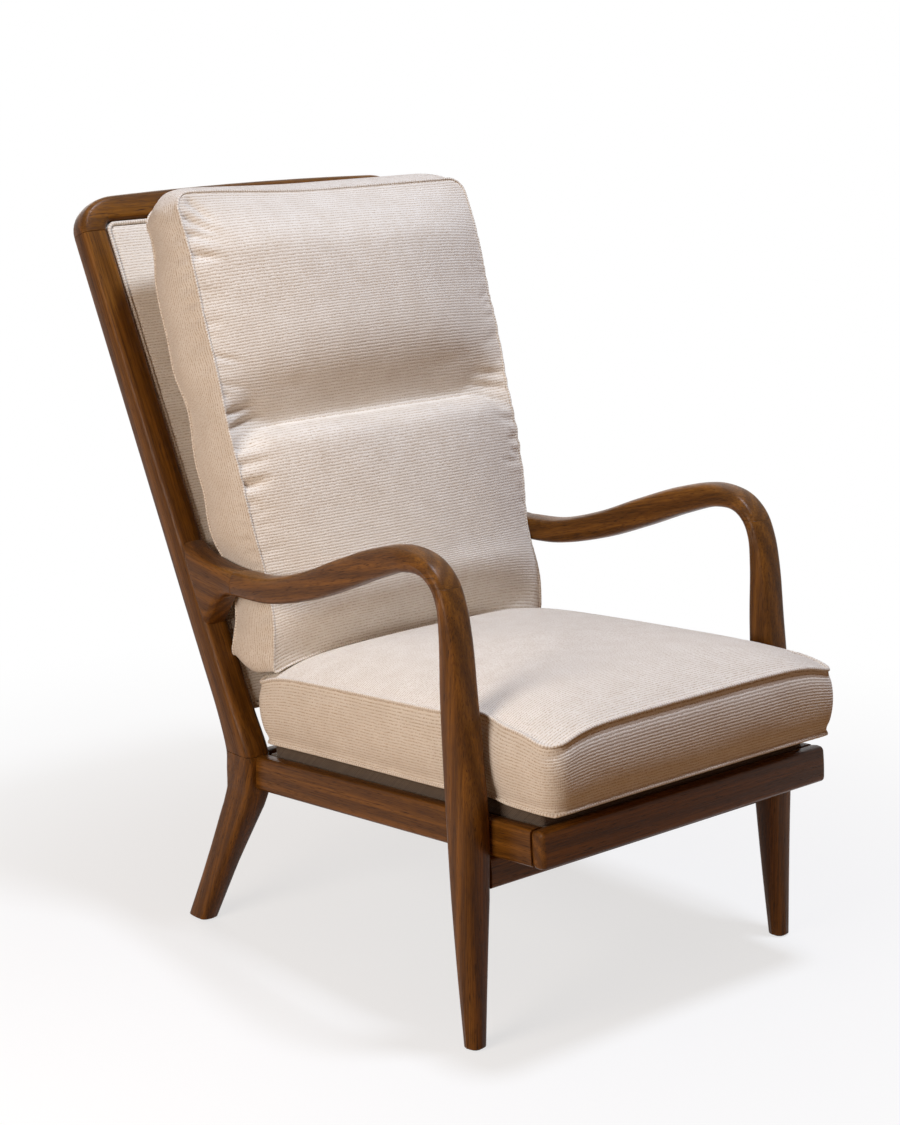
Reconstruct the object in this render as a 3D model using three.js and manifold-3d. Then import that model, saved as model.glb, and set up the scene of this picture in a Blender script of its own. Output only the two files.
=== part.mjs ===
// A fireside chair: a show-wood frame with serpentine arms that flow into the front legs, a high raked back,
// a webbed seat deck, an upholstered back panel, and two loose cushions.
// Millimetres, +Z up. The sitter faces -Y, and the sitter's right is -X.
import * as THREE from "three";
import { mergeVertices } from "three/addons/utils/BufferGeometryUtils.js";
import Module from "manifold-3d";

const wasm = await Module();
wasm.setup();

// Clearances
const seatGap = 0.3; // between two pieces that touch
const overrun = 2; // how far a cutting tool runs past the face it cuts
const boreGap = 0.3; // round a dowel, a bolt or a tenon
const restGap = 1.2; // between the two cushions' curved faces

// Overall plan
const heelReach = 559.4; // front foot centre back to the post's rear line at the leg joint
const frontLegInner = 266.5; // centre plane to the front leg's inner face
const railUnderside = 266; // floor to the front rail's underside

// Arms and front legs: one line from the foot, over the knee, back to the post
const armHeight = 645; // floor to the top of the knee
const armJointShare = 0.941; // height of the arm's joint with the front leg, of the arm's height
const armRearSet = 32.4; // the post's rear line at the leg joint forward to the arm's rear joint
const armRearInset = 17.5; // how far the arm's centre runs inward by its rear joint
const armWidth = 42;
const armEdge = 11; // radius of the arm's long edges
const hornRise = 21; // how far the block behind the arm rises to the post
const hornDrop = 56; // how far its underside falls to the post
const frontFootSplay = 4.8; // how far the front foot's centre stands out from the leg's
const frontFootWidth = 28;

// Rear legs and back posts: one line from the foot up to the crest rail
const backRakeSlope = 0.45; // run back for each unit of rise
const postWidth = 42;
const postEdge = 9;
const postDepthLow = 44;
const postDepthTop = 35.5;
const postLength = 777; // along the rake, from the leg joint to the crest joint
const postJointDrop = 4; // the front rail's underside down to the post's joint with the rear leg
const postInset = 7.5; // front leg's inner face in to the post's centre at the leg joint
const postSplay = 27.5; // how far the post's centre runs out by the crest joint
const rearLegDepth = 58;
const rearLegSet = 51.4; // the post's rear line at the leg joint forward to the rear leg's face
const rearFootSplay = 41.5; // how far the rear foot's centre stands out from the post's
const rearFootKick = 40.6; // the post's rear line at the leg joint back to the rear foot's centre
const rearFootWidth = 29;
const rearFootDepth = 41;

// Crest rail
const crestRise = 53; // crest joint to the crest's top edge
const crestHeight = 38;
const crestCorner = 52; // outer corner radius
const crestArch = 3; // how much its top rises in the middle

// Seat frame, which slopes down to the rear
const seatPitch = THREE.MathUtils.degToRad(5.06);
const seatFrontReach = -99; // front foot centre forward to the front rail's face
const railHeight = 50;
const railThick = 24;
const railEdge = 6;
const frontRailThick = 23;
const rearRailBack = 12; // rear leg's front face back to the rear rail
const stretcherThick = 25;
const stretcherHeight = 44;
const stretcherShare = 0.023; // how far back the stretcher's middle stands, of the arm's reach
const tenonThick = 12;
const tenonHeight = 26;
const tenonLength = 18;
const tenonRoot = 4; // how far a tenon runs back into its own rail
const cornerBlockReach = 60;
const cornerBlockHeight = 30;

// Seat deck: a drop-in frame with elastic webbing, under a fabric cover
const deckInset = 22; // rail's outer face in to the deck's edge
const deckThick = 17.7;
const deckCoverWall = 3;
const deckCoverTop = 5;
const deckCoverEdge = 6;
const deckBarWide = 40;
const deckRearSet = 18; // rear leg's front face forward to the deck's rear
const webThick = 1.5;
const webWide = 60;
const seatWebs = 4;
const dustThick = 1.2;

// Upholstered back panel, which fills the space between the posts
const panelSet = 4; // post's rear face in to the panel's rear face
const panelFrameThick = 12;
const panelBarWide = 45;
const panelCoverThick = 3;
const panelPadThick = 9;
const panelCrown = 5;
const panelFoot = 50; // leg joint up to the panel's lower edge
const panelCorner = 20;
const panelEdgeGap = 2; // panel's fabric edge to the wood round it
const weltRadius = 2.8;
const weltStep = 7; // how far the pad steps in to take its welt
const backWebs = 3;

// Loose cushions
const seatCushionThick = 100;
const seatCushionOver = 1.5; // how far its front corners stand out past the legs' inner faces
const seatCushionTaper = 20; // how much narrower it is at the rear
const seatCushionCrown = 42; // how far its top swells above its top seam
const seatCushionLift = 8; // how far its top seam rises in between the corners
const seatCushionFront = -27; // front rail's face to the cushion's front
const seatCushionRearSet = 56.6; // the post's rear line at the leg joint forward to its rear
const seatCushionCorner = 14;
const seatCushionPull = 5; // how far its sides draw in between the corners
const backCushionInsetLow = 9.5; // front leg's inner face in to its side, at its foot
const backCushionInsetTop = 0.5; // the same at its top
const backCushionPinch = 15; // how far each arm presses its side in
const backCushionThick = 97;
const backCushionCorner = 16;
const backCushionFace = 32; // from its edge in to the flat of its top and foot
const backCushionSeamDrop = 6; // from a seam to where the boxing stands straight
const backCushionCrown = 26;
const backCushionRearCrown = 22;
const backCushionHeight = 1039; // floor to its top seam
const backCushionSet = 22.2; // the post's rear line at the leg joint back to the foot of its rear
const backCushionSlope = 0.314; // how far its front runs back for each unit of rise
const backCushionFootLift = 10.6; // the seat cushion's top seam up to its front seam
const backCushionPuff = 12; // how far its top swells above the top seam
const channelShare = 0.4945; // how far up the cushion its sewn channel lies
const channelDepth = 20;
const channelReach = 34; // how far the channel's valley reaches up and down

// Fastenings
const dowelRadius = 5;
const dowelDeep = 22;
const dowelShallow = 11;
const boltRadius = 4;
const boltHeadRadius = 8;
const boltHeadThick = 5;
const boltIntoLeg = 24;
const glideRadius = 9;
const glideThick = 2.5;

// Finishes
const wood = new THREE.MeshStandardMaterial({ color: 0x6b452a, roughness: 0.45, metalness: 0 });
const innerWood = new THREE.MeshStandardMaterial({ color: 0xb08a5e, roughness: 0.7, metalness: 0 });
const cloth = new THREE.MeshStandardMaterial({ color: 0xd8c8b4, roughness: 0.95, metalness: 0 });
const webbing = new THREE.MeshStandardMaterial({ color: 0x4a4038, roughness: 0.9, metalness: 0 });
const steel = new THREE.MeshStandardMaterial({ color: 0x9a9a98, roughness: 0.35, metalness: 1 });
const plastic = new THREE.MeshStandardMaterial({ color: 0x3a2a20, roughness: 0.6, metalness: 0 });

// Places that follow from these
const armReach = heelReach - armRearSet; // front foot centre back to the arm's rear joint
const armJointHeight = armJointShare * armHeight;
const frontLegOut = frontLegInner + armWidth / 2;
const frontFootOut = frontLegOut + frontFootSplay;
const armRearOut = frontLegOut - armRearInset;
const postJointHeight = railUnderside - postJointDrop;
const postOutLow = frontLegInner - postInset;
const postOutTop = postOutLow + postSplay;
const rearFootOut = postOutLow + rearFootSplay;
const rearLegFace = heelReach - rearLegSet;
const rearFootReach = heelReach + rearFootKick;
const deckRearReach = rearLegFace - deckRearSet;
const seatCushionWide = (frontLegInner + seatCushionOver) * 2;
const seatCushionWideRear = seatCushionWide - seatCushionTaper;
const backCushionWideLow = (frontLegInner - backCushionInsetLow) * 2;
const backCushionWideTop = (frontLegInner - backCushionInsetTop) * 2;

const chair = new THREE.Group();
const seat = new THREE.Group();
seat.position.set(0, seatFrontReach, railUnderside);
seat.rotation.x = -seatPitch;
const back = new THREE.Group();
const backRake = Math.atan(backRakeSlope);
back.position.set(0, heelReach, postJointHeight);
back.rotation.x = -backRake;
chair.add(seat, back);
chair.updateMatrixWorld(true);

const sides = [
  { name: "right", sign: -1 },
  { name: "left", sign: 1 },
];

function addMesh(group, name, geometry, material) {
  const ownMaterial = material.clone();
  geometry.computeVertexNormals();
  const mesh = new THREE.Mesh(geometry, ownMaterial);
  mesh.name = name;
  group.add(mesh);
  return mesh;
}

// Rings of points, all with as many points, skinned into one closed surface with a fan over each end.
function skin(rings, closed = false) {
  const count = rings[0].length;
  const points = rings.flat();
  const faces = [];
  const last = rings.length - 1;
  for (let row = 0; row < (closed ? rings.length : last); row += 1) {
    const above = (row + 1) % rings.length;
    for (let i = 0; i < count; i += 1) {
      const j = (i + 1) % count;
      faces.push(row * count + i, row * count + j, above * count + j);
      faces.push(row * count + i, above * count + j, above * count + i);
    }
  }
  if (!closed) {
    [rings[0], rings[last]].forEach((ring, end) => {
      const middle = new THREE.Vector3();
      ring.forEach((point) => middle.add(point));
      points.push(middle.divideScalar(count));
      const hub = points.length - 1;
      const start = end * last * count;
      for (let i = 0; i < count; i += 1) {
        const j = (i + 1) % count;
        faces.push(hub, start + (end ? i : j), start + (end ? j : i));
      }
    });
  }
  const geometry = new THREE.BufferGeometry().setFromPoints(points);
  geometry.setIndex(faces);
  return outward(geometry);
}

function signedVolume(geometry) {
  const place = geometry.getAttribute("position");
  const index = geometry.getIndex().array;
  const corner = [new THREE.Vector3(), new THREE.Vector3(), new THREE.Vector3()];
  let sum = 0;
  for (let i = 0; i < index.length; i += 3) {
    corner.forEach((point, k) => point.fromBufferAttribute(place, index[i + k]));
    sum += corner[0].dot(corner[1].clone().cross(corner[2]));
  }
  return sum;
}

function outward(geometry) {
  if (signedVolume(geometry) >= 0) return geometry;
  const index = geometry.getIndex().array;
  for (let i = 0; i < index.length; i += 3) {
    [index[i + 1], index[i + 2]] = [index[i + 2], index[i + 1]];
  }
  return geometry;
}

// Boolean cuts and joins
function toSolid(geometry) {
  const bare = geometry.clone();
  bare.deleteAttribute("normal");
  bare.deleteAttribute("uv");
  const merged = mergeVertices(bare);
  const vertProperties = merged.getAttribute("position").array;
  const triVerts = new Uint32Array(merged.getIndex().array);
  return new wasm.Manifold(new wasm.Mesh({ numProp: 3, vertProperties, triVerts }));
}

function fromSolid(solid) {
  const mesh = solid.getMesh();
  const geometry = new THREE.BufferGeometry();
  geometry.setAttribute("position", new THREE.BufferAttribute(mesh.vertProperties, 3));
  geometry.setIndex(new THREE.BufferAttribute(mesh.triVerts, 1));
  return geometry;
}

function cut(geometry, ...tools) {
  const solid = tools.reduce((rest, tool) => rest.subtract(toSolid(tool)), toSolid(geometry));
  return fromSolid(solid);
}

function join(geometry, ...others) {
  const solid = others.reduce((rest, other) => rest.add(toSolid(other)), toSolid(geometry));
  return fromSolid(solid);
}

function keep(geometry, region) {
  return fromSolid(toSolid(geometry).intersect(toSolid(region)));
}

// A block between two corners
function block(low, high) {
  const size = low.map((value, i) => high[i] - value);
  const geometry = new THREE.BoxGeometry(...size);
  return geometry.translate(...low.map((value, i) => value + size[i] / 2));
}

// A round pin from one point to another
function pin(start, end, radius) {
  const line = end.clone().sub(start);
  const geometry = new THREE.CylinderGeometry(radius, radius, line.length(), 12);
  const own = new THREE.Vector3(0, 1, 0);
  const turn = new THREE.Quaternion().setFromUnitVectors(own, line.clone().normalize());
  geometry.applyQuaternion(turn);
  return geometry.translate(...start.clone().add(end).divideScalar(2).toArray());
}

function placed(geometry, group) {
  return geometry.clone().applyMatrix4(group.matrixWorld);
}

// Outline of a rectangle with round corners, as pairs about its centre.
function roundedOutline(width, depth, radius, cornerSteps = 3, sideSteps = 1) {
  const points = [];
  const corner = Math.min(radius, width / 2, depth / 2);
  const quarters = [
    [1, 1],
    [-1, 1],
    [-1, -1],
    [1, -1],
  ];
  quarters.forEach(([right, up], quarter) => {
    const middle = [right * (width / 2 - corner), up * (depth / 2 - corner)];
    for (let i = 0; i <= cornerSteps; i += 1) {
      const angle = ((quarter + i / cornerSteps) * Math.PI) / 2;
      points.push([middle[0] + corner * Math.cos(angle), middle[1] + corner * Math.sin(angle)]);
    }
    const next = quarters[(quarter + 1) % 4];
    const from = points[points.length - 1];
    const angle = ((quarter + 1) * Math.PI) / 2;
    const nextMiddle = [next[0] * (width / 2 - corner), next[1] * (depth / 2 - corner)];
    const to = [nextMiddle[0] + corner * Math.cos(angle), nextMiddle[1] + corner * Math.sin(angle)];
    for (let i = 1; i < sideSteps; i += 1) {
      points.push(from.map((value, k) => THREE.MathUtils.lerp(value, to[k], i / sideSteps)));
    }
  });
  return points;
}

// Reads a list of values at a place between its entries, counted from 0 to 1.
function between(values, share) {
  const place = share * (values.length - 1);
  const low = Math.min(Math.floor(place), values.length - 2);
  return THREE.MathUtils.lerp(values[low], values[low + 1], place - low);
}

// A wooden member with a soft-edged section. Its two edge lines lie in the YZ plane as [y, z] pairs that face
// each other; out and width give the section's middle and width in X at each pair.
function member({ front, rear, out, width, edge, stepsPerPair }) {
  const toCurve = (pairs) => {
    const points = pairs.map(([y, z]) => new THREE.Vector3(0, y, z));
    return new THREE.CatmullRomCurve3(points, false, "centripetal");
  };
  const frontLine = toCurve(front);
  const rearLine = toCurve(rear);
  const steps = (front.length - 1) * stepsPerPair;
  const rings = [];
  for (let i = 0; i <= steps; i += 1) {
    const share = i / steps;
    const a = frontLine.getPoint(share);
    const b = rearLine.getPoint(share);
    const across = b.clone().sub(a);
    const depth = across.length();
    const middle = a.clone().add(b).divideScalar(2);
    middle.x = between(out, share);
    across.normalize();
    const ring = roundedOutline(between(width, share), depth, edge).map(([x, d]) =>
      middle.clone().addScaledVector(across, d).add(new THREE.Vector3(x, 0, 0)),
    );
    rings.push(ring);
  }
  return skin(rings);
}

const rearRailAlong = alongAt(rearLegFace + rearRailBack, railHeight / 2);
const stretcherAlong = alongAt(stretcherShare * armReach, -stretcherHeight / 2);
const rearLegInner = postOutLow - postWidth / 2;

// Arms and front legs.
// Each row holds the outer line's y and z and the inner line's y and z,
// as shares of the arm's reach and height.
const armLineShares = [
  [-0.022, 0.0, 0.0255, 0.0],
  [-0.014, 0.155, 0.05, 0.155],
  [-0.008, 0.31, 0.071, 0.31],
  [-0.006, 0.45, 0.087, 0.45],
  [0.013, 0.589, 0.102, 0.593],
  [0.038, 0.729, 0.113, 0.733],
  [0.057, 0.837, 0.117, 0.842],
  [0.079, 0.907, 0.127, 0.903],
  [0.112, 0.957, 0.149, 0.935],
  [0.169, 0.99, 0.186, 0.953],
  [0.266, 1.0, 0.256, 0.951],
  [0.393, 0.976, 0.364, 0.921],
  [0.541, 0.93, 0.508, 0.871],
  [0.693, 0.878, 0.664, 0.822],
  [0.854, 0.839, 0.841, 0.784],
  [1.0, 0.828, 1.0, 0.774],
];
const armCurveStart = 10; // the row from which the arm runs back and inward

const armRows = armLineShares.length;
const armOut = armLineShares.map((row, i) => {
  if (i === 0) return frontFootOut;
  if (i < armCurveStart) return frontLegOut;
  const share = (i - armCurveStart) / (armRows - 1 - armCurveStart);
  return THREE.MathUtils.lerp(frontLegOut, armRearOut, share);
});
armOut[1] = (frontFootOut + frontLegOut) / 2;
const armWidths = armLineShares.map((row, i) => (i === 0 ? frontFootWidth : armWidth));
armWidths[1] = (frontFootWidth + armWidth) / 2;

function armBlank(sign) {
  return member({
    front: armLineShares.map(([y, z]) => [y * armReach, z * armHeight]),
    rear: armLineShares.map((row) => [row[2] * armReach, row[3] * armHeight]),
    out: armOut.map((value) => sign * value),
    width: armWidths,
    edge: armEdge,
    stepsPerPair: 3,
  });
}

const kneeBackShare = 0.2; // the leg's side of the joint ends here along the reach
const armTenonShare = 0.128; // where the joint's dowel stands along the reach
const boltShare = 0.05; // where the rail's bolt enters the leg along the reach

sides.forEach(({ name, sign }) => {
  const blank = armBlank(sign);
  const wide = frontLegOut + armWidth;
  const kneeBack = kneeBackShare * armReach;
  const ahead = -armWidth * 2;
  const legSpace = block([-wide, ahead, glideThick + seatGap], [wide, kneeBack, armJointHeight]);
  const below = block([-wide, ahead, -armWidth], [wide, kneeBack, armJointHeight + seatGap]);
  const dowelPlace = (z) => new THREE.Vector3(sign * frontLegOut, armTenonShare * armReach, z);
  const dowel = pin(
    dowelPlace(armJointHeight - dowelDeep),
    dowelPlace(armJointHeight + dowelShallow),
    dowelRadius,
  );
  const bore = pin(
    dowelPlace(armJointHeight - dowelDeep - boreGap),
    dowelPlace(armJointHeight + dowelShallow + boreGap),
    dowelRadius + boreGap,
  );
  addMesh(chair, "arm_dowel_" + name, dowel, innerWood);

  const rearMiddle = ((armLineShares[armRows - 1][1] + armLineShares[armRows - 1][3]) / 2) * armHeight;
  const rearPlace = (y) => new THREE.Vector3(sign * armRearOut, y, rearMiddle);
  const rearDowel = pin(rearPlace(armReach - dowelDeep), rearPlace(armReach + dowelDeep), dowelRadius);
  const rearBore = pin(
    rearPlace(armReach - dowelDeep - boreGap),
    rearPlace(armReach + dowelDeep + boreGap),
    dowelRadius + boreGap,
  );
  addMesh(chair, "block_dowel_" + name, rearDowel, innerWood);

  const boltY = boltShare * armReach;
  const boltZ = railUnderside + railHeight / 2 - alongAt(boltY, railHeight / 2) * Math.sin(seatPitch);
  const railInner = frontLegInner - seatGap - railThick;
  const boltPlace = (x) => new THREE.Vector3(sign * x, boltY, boltZ);
  const shank = pin(boltPlace(railInner - seatGap), boltPlace(frontLegInner + boltIntoLeg), boltRadius);
  const head = pin(
    boltPlace(railInner - seatGap - boltHeadThick),
    boltPlace(railInner - seatGap + seatGap / 2),
    boltHeadRadius,
  );
  const boltBore = pin(
    boltPlace(railInner - overrun),
    boltPlace(frontLegInner + boltIntoLeg + boreGap),
    boltRadius + boreGap,
  );
  addMesh(chair, "leg_bolt_" + name, join(shank, head), steel);

  const stretcherTenon = stretcherTenonAt(sign, boreGap);
  const leg = cut(keep(blank, legSpace), bore, boltBore, stretcherTenon);
  addMesh(chair, "front_leg_" + name, leg, wood);
  addMesh(chair, "arm_" + name, cut(blank, below, bore, rearBore), wood);

  addArmBlock(name, sign, rearBore);
  addRearUpright(name, sign);
  addSideRail(name, sign, boltBore);
});

// A point of the post's section: how far up the rake it is, and how far forward of the post's rear line.
function backPoint(along, forward) {
  const point = new THREE.Vector3(0, -forward, along).applyMatrix4(back.matrixWorld);
  return [point.y, point.z];
}

function postDepth(along) {
  return THREE.MathUtils.lerp(postDepthLow, postDepthTop, along / postLength);
}

function postOut(along) {
  return THREE.MathUtils.lerp(postOutLow, postOutTop, along / postLength);
}

// How far up the rake the post's front face reaches a height over the floor
function postFaceAt(height) {
  const taper = (postDepthTop - postDepthLow) / postLength;
  const rise = height - postJointHeight - postDepthLow * Math.sin(backRake);
  return rise / (Math.cos(backRake) + taper * Math.sin(backRake));
}

// The block that carries the arm swells out of the post like a horn, with a hollow top and a round underside.
function addArmBlock(name, sign, rearBore) {
  const topRow = armLineShares[armRows - 1];
  const start = [armReach + seatGap, topRow[1] * armHeight];
  const startLow = [armReach + seatGap, topRow[3] * armHeight];
  const face = (along) => backPoint(along, postDepth(along) + seatGap);
  const hornTop = postFaceAt(start[1] + hornRise);
  const hornFoot = postFaceAt(startLow[1] - hornDrop);
  const end = face(hornTop);
  const endLow = face(hornFoot);
  // Each row gives how far the top line and the underside have run back and risen, as shares of the whole.
  const hornShares = [
    [0.0, 0.0, 0.0, 0.0],
    [0.22, 0.03, 0.22, 0.02],
    [0.45, 0.13, 0.42, 0.12],
    [0.68, 0.34, 0.6, 0.32],
    [0.86, 0.64, 0.78, 0.62],
    [1.0, 1.0, 1.0, 1.0],
  ];
  const along = (from, to, run, rise) => [
    THREE.MathUtils.lerp(from[0], to[0], run),
    THREE.MathUtils.lerp(from[1], to[1], rise),
  ];
  const postMiddle = postOut((hornTop + hornFoot) / 2);
  const horn = member({
    front: hornShares.map((row) => along(start, end, row[0], row[1])),
    rear: hornShares.map((row) => along(startLow, endLow, row[2], row[3])),
    out: [sign * armRearOut, sign * postMiddle],
    width: [armWidth, postWidth],
    edge: postEdge,
    stepsPerPair: 3,
  });
  addMesh(chair, "arm_block_" + name, cut(horn, rearBore), wood);
}

// Rear leg and back post, cut from one line at the seat's height
function addRearUpright(name, sign) {
  const legShares = [0, 0.36, 0.7, 0.79, 0.9, 1]; // heights, as shares of the leg joint's height
  const faceShares = [1, 0.53, 0.06, 0, 0, 0]; // how far the front face has kicked back
  const depthShares = [0, 0.22, 0.93, 1, 1, 1]; // how far the section has grown to its full depth
  const outShares = [1, 0.6, 0.13, 0, 0, 0];
  const footFace = rearFootReach - rearFootDepth / 2;
  const front = [];
  const rear = [];
  const out = [];
  const width = [];
  legShares.forEach((share, i) => {
    const faceY = THREE.MathUtils.lerp(rearLegFace, footFace, faceShares[i]);
    const depth = THREE.MathUtils.lerp(rearFootDepth, rearLegDepth, depthShares[i]);
    front.push([faceY, share * postJointHeight]);
    rear.push([faceY + depth, share * postJointHeight]);
    out.push(sign * THREE.MathUtils.lerp(postOutLow, rearFootOut, outShares[i]));
    width.push(THREE.MathUtils.lerp(postWidth, rearFootWidth, outShares[i]));
  });
  const postShares = [0.075, 0.2, 0.45, 0.72, 1];
  postShares.forEach((share) => {
    const along = share * postLength;
    front.push(backPoint(along, postDepth(along)));
    rear.push(backPoint(along, 0));
    out.push(sign * postOut(along));
    width.push(postWidth);
  });
  const upright = member({ front, rear, out, width, edge: postEdge, stepsPerPair: 4 });

  const wide = rearFootOut + postWidth;
  const deep = heelReach + postLength;
  const legRegion = block([-wide, 0, glideThick + seatGap], [wide, deep, postJointHeight]);
  const belowPost = block([-wide, 0, -postWidth], [wide, deep, postJointHeight + seatGap]);
  const dowelY = rearLegFace + rearLegDepth / 2;
  const dowelPlace = (z) => new THREE.Vector3(sign * postOutLow, dowelY, z);
  const dowel = pin(
    dowelPlace(postJointHeight - dowelShallow),
    dowelPlace(postJointHeight + dowelDeep),
    dowelRadius,
  );
  const bore = pin(
    dowelPlace(postJointHeight - dowelShallow - boreGap),
    dowelPlace(postJointHeight + dowelDeep + boreGap),
    dowelRadius + boreGap,
  );
  addMesh(chair, "post_dowel_" + name, dowel, innerWood);

  // A flat sawn on the leg's front face, where the side rail lands
  const landingLow = railUnderside - alongAt(rearLegFace, 0) * Math.sin(seatPitch) - railEdge;
  const landing = block([-wide, rearLegFace - railThick, landingLow], [wide, rearLegFace, postJointHeight]);
  const leg = cut(
    keep(upright, legRegion),
    landing,
    bore,
    placed(sideTenon(sign, boreGap), seat),
    placed(rearTenon(sign, boreGap), seat),
  );
  addMesh(chair, "rear_leg_" + name, leg, wood);
  const crestBore = placed(crestPin(sign, dowelRadius + boreGap, boreGap), back);
  addMesh(chair, "back_post_" + name, cut(upright, belowPost, bore, crestBore), wood);
  addMesh(back, "crest_dowel_" + name, crestPin(sign, dowelRadius, 0), innerWood);
}

function crestPin(sign, radius, extra) {
  const place = (along) => new THREE.Vector3(sign * postOutTop, -postDepthTop / 2, along);
  return pin(place(postLength - dowelDeep - extra), place(postLength + dowelDeep + extra), radius);
}

// Crest rail: a bar that turns down at both ends onto the posts
function crestRail() {
  const topLine = postLength + crestRise;
  const outer = postOutTop + postWidth / 2;
  const inner = postOutTop - postWidth / 2;
  const innerCorner = crestRise - crestHeight - seatGap;
  const cornerSteps = 6;
  const pairs = [];
  pairs.push([
    [outer, postLength + seatGap],
    [inner, postLength + seatGap],
  ]);
  for (let i = 0; i <= cornerSteps; i += 1) {
    const angle = ((i / cornerSteps) * Math.PI) / 2;
    pairs.push([
      [outer - crestCorner * (1 - Math.cos(angle)), topLine - crestCorner * (1 - Math.sin(angle))],
      [inner - innerCorner * (1 - Math.cos(angle)), postLength + seatGap + innerCorner * Math.sin(angle)],
    ]);
  }
  const archShares = [0.75, 0.5, 0.25, 0];
  const flat = outer - crestCorner;
  const flatInner = inner - innerCorner;
  archShares.forEach((share) => {
    const rise = crestArch * (1 - share * share);
    pairs.push([
      [flat * share, topLine + rise],
      [flatInner * share, topLine - crestHeight],
    ]);
  });
  const mirrored = pairs
    .slice(0, -1)
    .reverse()
    .map((pair) => pair.map(([x, z]) => [-x, z]));
  const rings = [...pairs, ...mirrored].map(([top, under]) => {
    const a = new THREE.Vector3(top[0], -postDepthTop / 2, top[1]);
    const b = new THREE.Vector3(under[0], -postDepthTop / 2, under[1]);
    const middle = a.clone().add(b).divideScalar(2);
    const across = b.clone().sub(a);
    const height = across.length();
    across.normalize();
    return roundedOutline(postDepthTop, height, postEdge).map(([d, h]) =>
      middle.clone().addScaledVector(across, h).add(new THREE.Vector3(0, d, 0)),
    );
  });
  const bores = sides.map(({ sign }) => crestPin(sign, dowelRadius + boreGap, boreGap));
  return cut(skin(rings), ...bores);
}
addMesh(back, "crest_rail", crestRail(), wood);

// Seat frame. Places are [x, back along the seat, up from the rails' underside].
function railOuter() {
  return frontLegInner - seatGap;
}

// How far back along the seat an upright plane lies, at a height over the rails' underside
function alongAt(reach, up) {
  return (reach - seatFrontReach - up * Math.sin(seatPitch)) / Math.cos(seatPitch);
}

function sideTenon(sign, extra) {
  const middle = railOuter() - railThick / 2;
  const start = alongAt(rearLegFace, railHeight / 2) - tenonRoot;
  const end = alongAt(rearLegFace, railHeight / 2) + tenonLength - overrun + extra;
  const low = [sign * middle - tenonThick / 2 - extra, start, (railHeight - tenonHeight) / 2 - extra];
  const high = [sign * middle + tenonThick / 2 + extra, end, (railHeight + tenonHeight) / 2 + extra];
  return block(low, high);
}

function addSideRail(name, sign, boltBore) {
  const middle = railOuter() - railThick / 2;
  const front = frontRailThick + seatGap;
  const section = roundedOutline(railThick, railHeight, railEdge);
  const ring = (along) =>
    section.map(([x, h]) => {
      const up = h + railHeight / 2;
      return new THREE.Vector3(sign * middle + x, along(up), up);
    });
  const rail = skin([ring(() => front), ring((up) => alongAt(rearLegFace - seatGap, up))]);
  const toSeat = seat.matrixWorld.clone().invert();
  const bore = boltBore.clone().applyMatrix4(toSeat);
  addMesh(seat, "side_rail_" + name, cut(join(rail, sideTenon(sign, 0)), bore), wood);
}

// A bar along X with a soft-edged section, about middle, its [back, up] place.
// Its ends are rounded over where endRound is more than 0.
function crossBar(halfLength, thick, height, middle, edge, endRound) {
  const endSteps = endRound > 0 ? 3 : 0;
  const half = [];
  for (let i = 0; i <= endSteps; i += 1) {
    const angle = endSteps > 0 ? ((i / endSteps) * Math.PI) / 2 : Math.PI / 2;
    const inset = endRound * (1 - Math.sin(angle));
    const x = halfLength - endRound * (1 - Math.cos(angle));
    const outline = roundedOutline(thick - inset * 2, height - inset * 2, edge);
    half.push(outline.map(([y, z]) => new THREE.Vector3(x, middle[0] + y, middle[1] + z)));
  }
  const mirror = half.map((ring) => ring.map((p) => new THREE.Vector3(-p.x, p.y, p.z))).reverse();
  return skin([...half, ...mirror]);
}

addMesh(
  seat,
  "front_rail",
  crossBar(railOuter(), frontRailThick, railHeight, [frontRailThick / 2, railHeight / 2], railEdge, railEdge),
  wood,
);

function stretcherTenonAt(sign, extra) {
  return placed(stretcherTenon(sign, extra), seat);
}

function stretcherTenon(sign, extra) {
  const from = frontLegInner - tenonRoot;
  const to = frontLegInner + tenonLength + extra;
  const middle = stretcherAlong;
  const half = tenonHeight / 2 + extra;
  const centre = -stretcherHeight / 2;
  const low = [Math.min(sign * from, sign * to), middle - tenonThick / 2 - extra, centre - half];
  const high = [Math.max(sign * from, sign * to), middle + tenonThick / 2 + extra, centre + half];
  return block(low, high);
}

const stretcher = crossBar(
  railOuter(),
  stretcherThick,
  stretcherHeight - seatGap,
  [stretcherAlong, -stretcherHeight / 2 - seatGap / 2],
  railEdge,
  0,
);
addMesh(
  seat,
  "front_stretcher",
  join(stretcher, ...sides.map(({ sign }) => stretcherTenon(sign, 0))),
  wood,
);

function rearTenon(sign, extra) {
  const from = rearLegInner - tenonRoot;
  const to = rearLegInner + tenonLength + extra;
  const middle = rearRailAlong + railThick / 2;
  const high = railHeight / 2 + tenonHeight / 3 + extra;
  const low = railHeight / 2 - (tenonHeight * 2) / 3 - extra;
  return block(
    [Math.min(sign * from, sign * to), middle - tenonThick / 2 - extra, low],
    [Math.max(sign * from, sign * to), middle + tenonThick / 2 + extra, high],
  );
}

const rearBar = crossBar(
  rearLegInner - seatGap,
  railThick,
  railHeight,
  [rearRailAlong + railThick / 2, railHeight / 2],
  railEdge,
  0,
);
addMesh(seat, "rear_rail", join(rearBar, ...sides.map(({ sign }) => rearTenon(sign, 0))), wood);

// Glue blocks in the frame's corners
function prism(outline, low, high) {
  const shape = new THREE.Shape(outline.map(([x, y]) => new THREE.Vector2(x, y)));
  const geometry = new THREE.ExtrudeGeometry(shape, { depth: high - low, bevelEnabled: false });
  return geometry.translate(0, 0, low);
}

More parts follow.
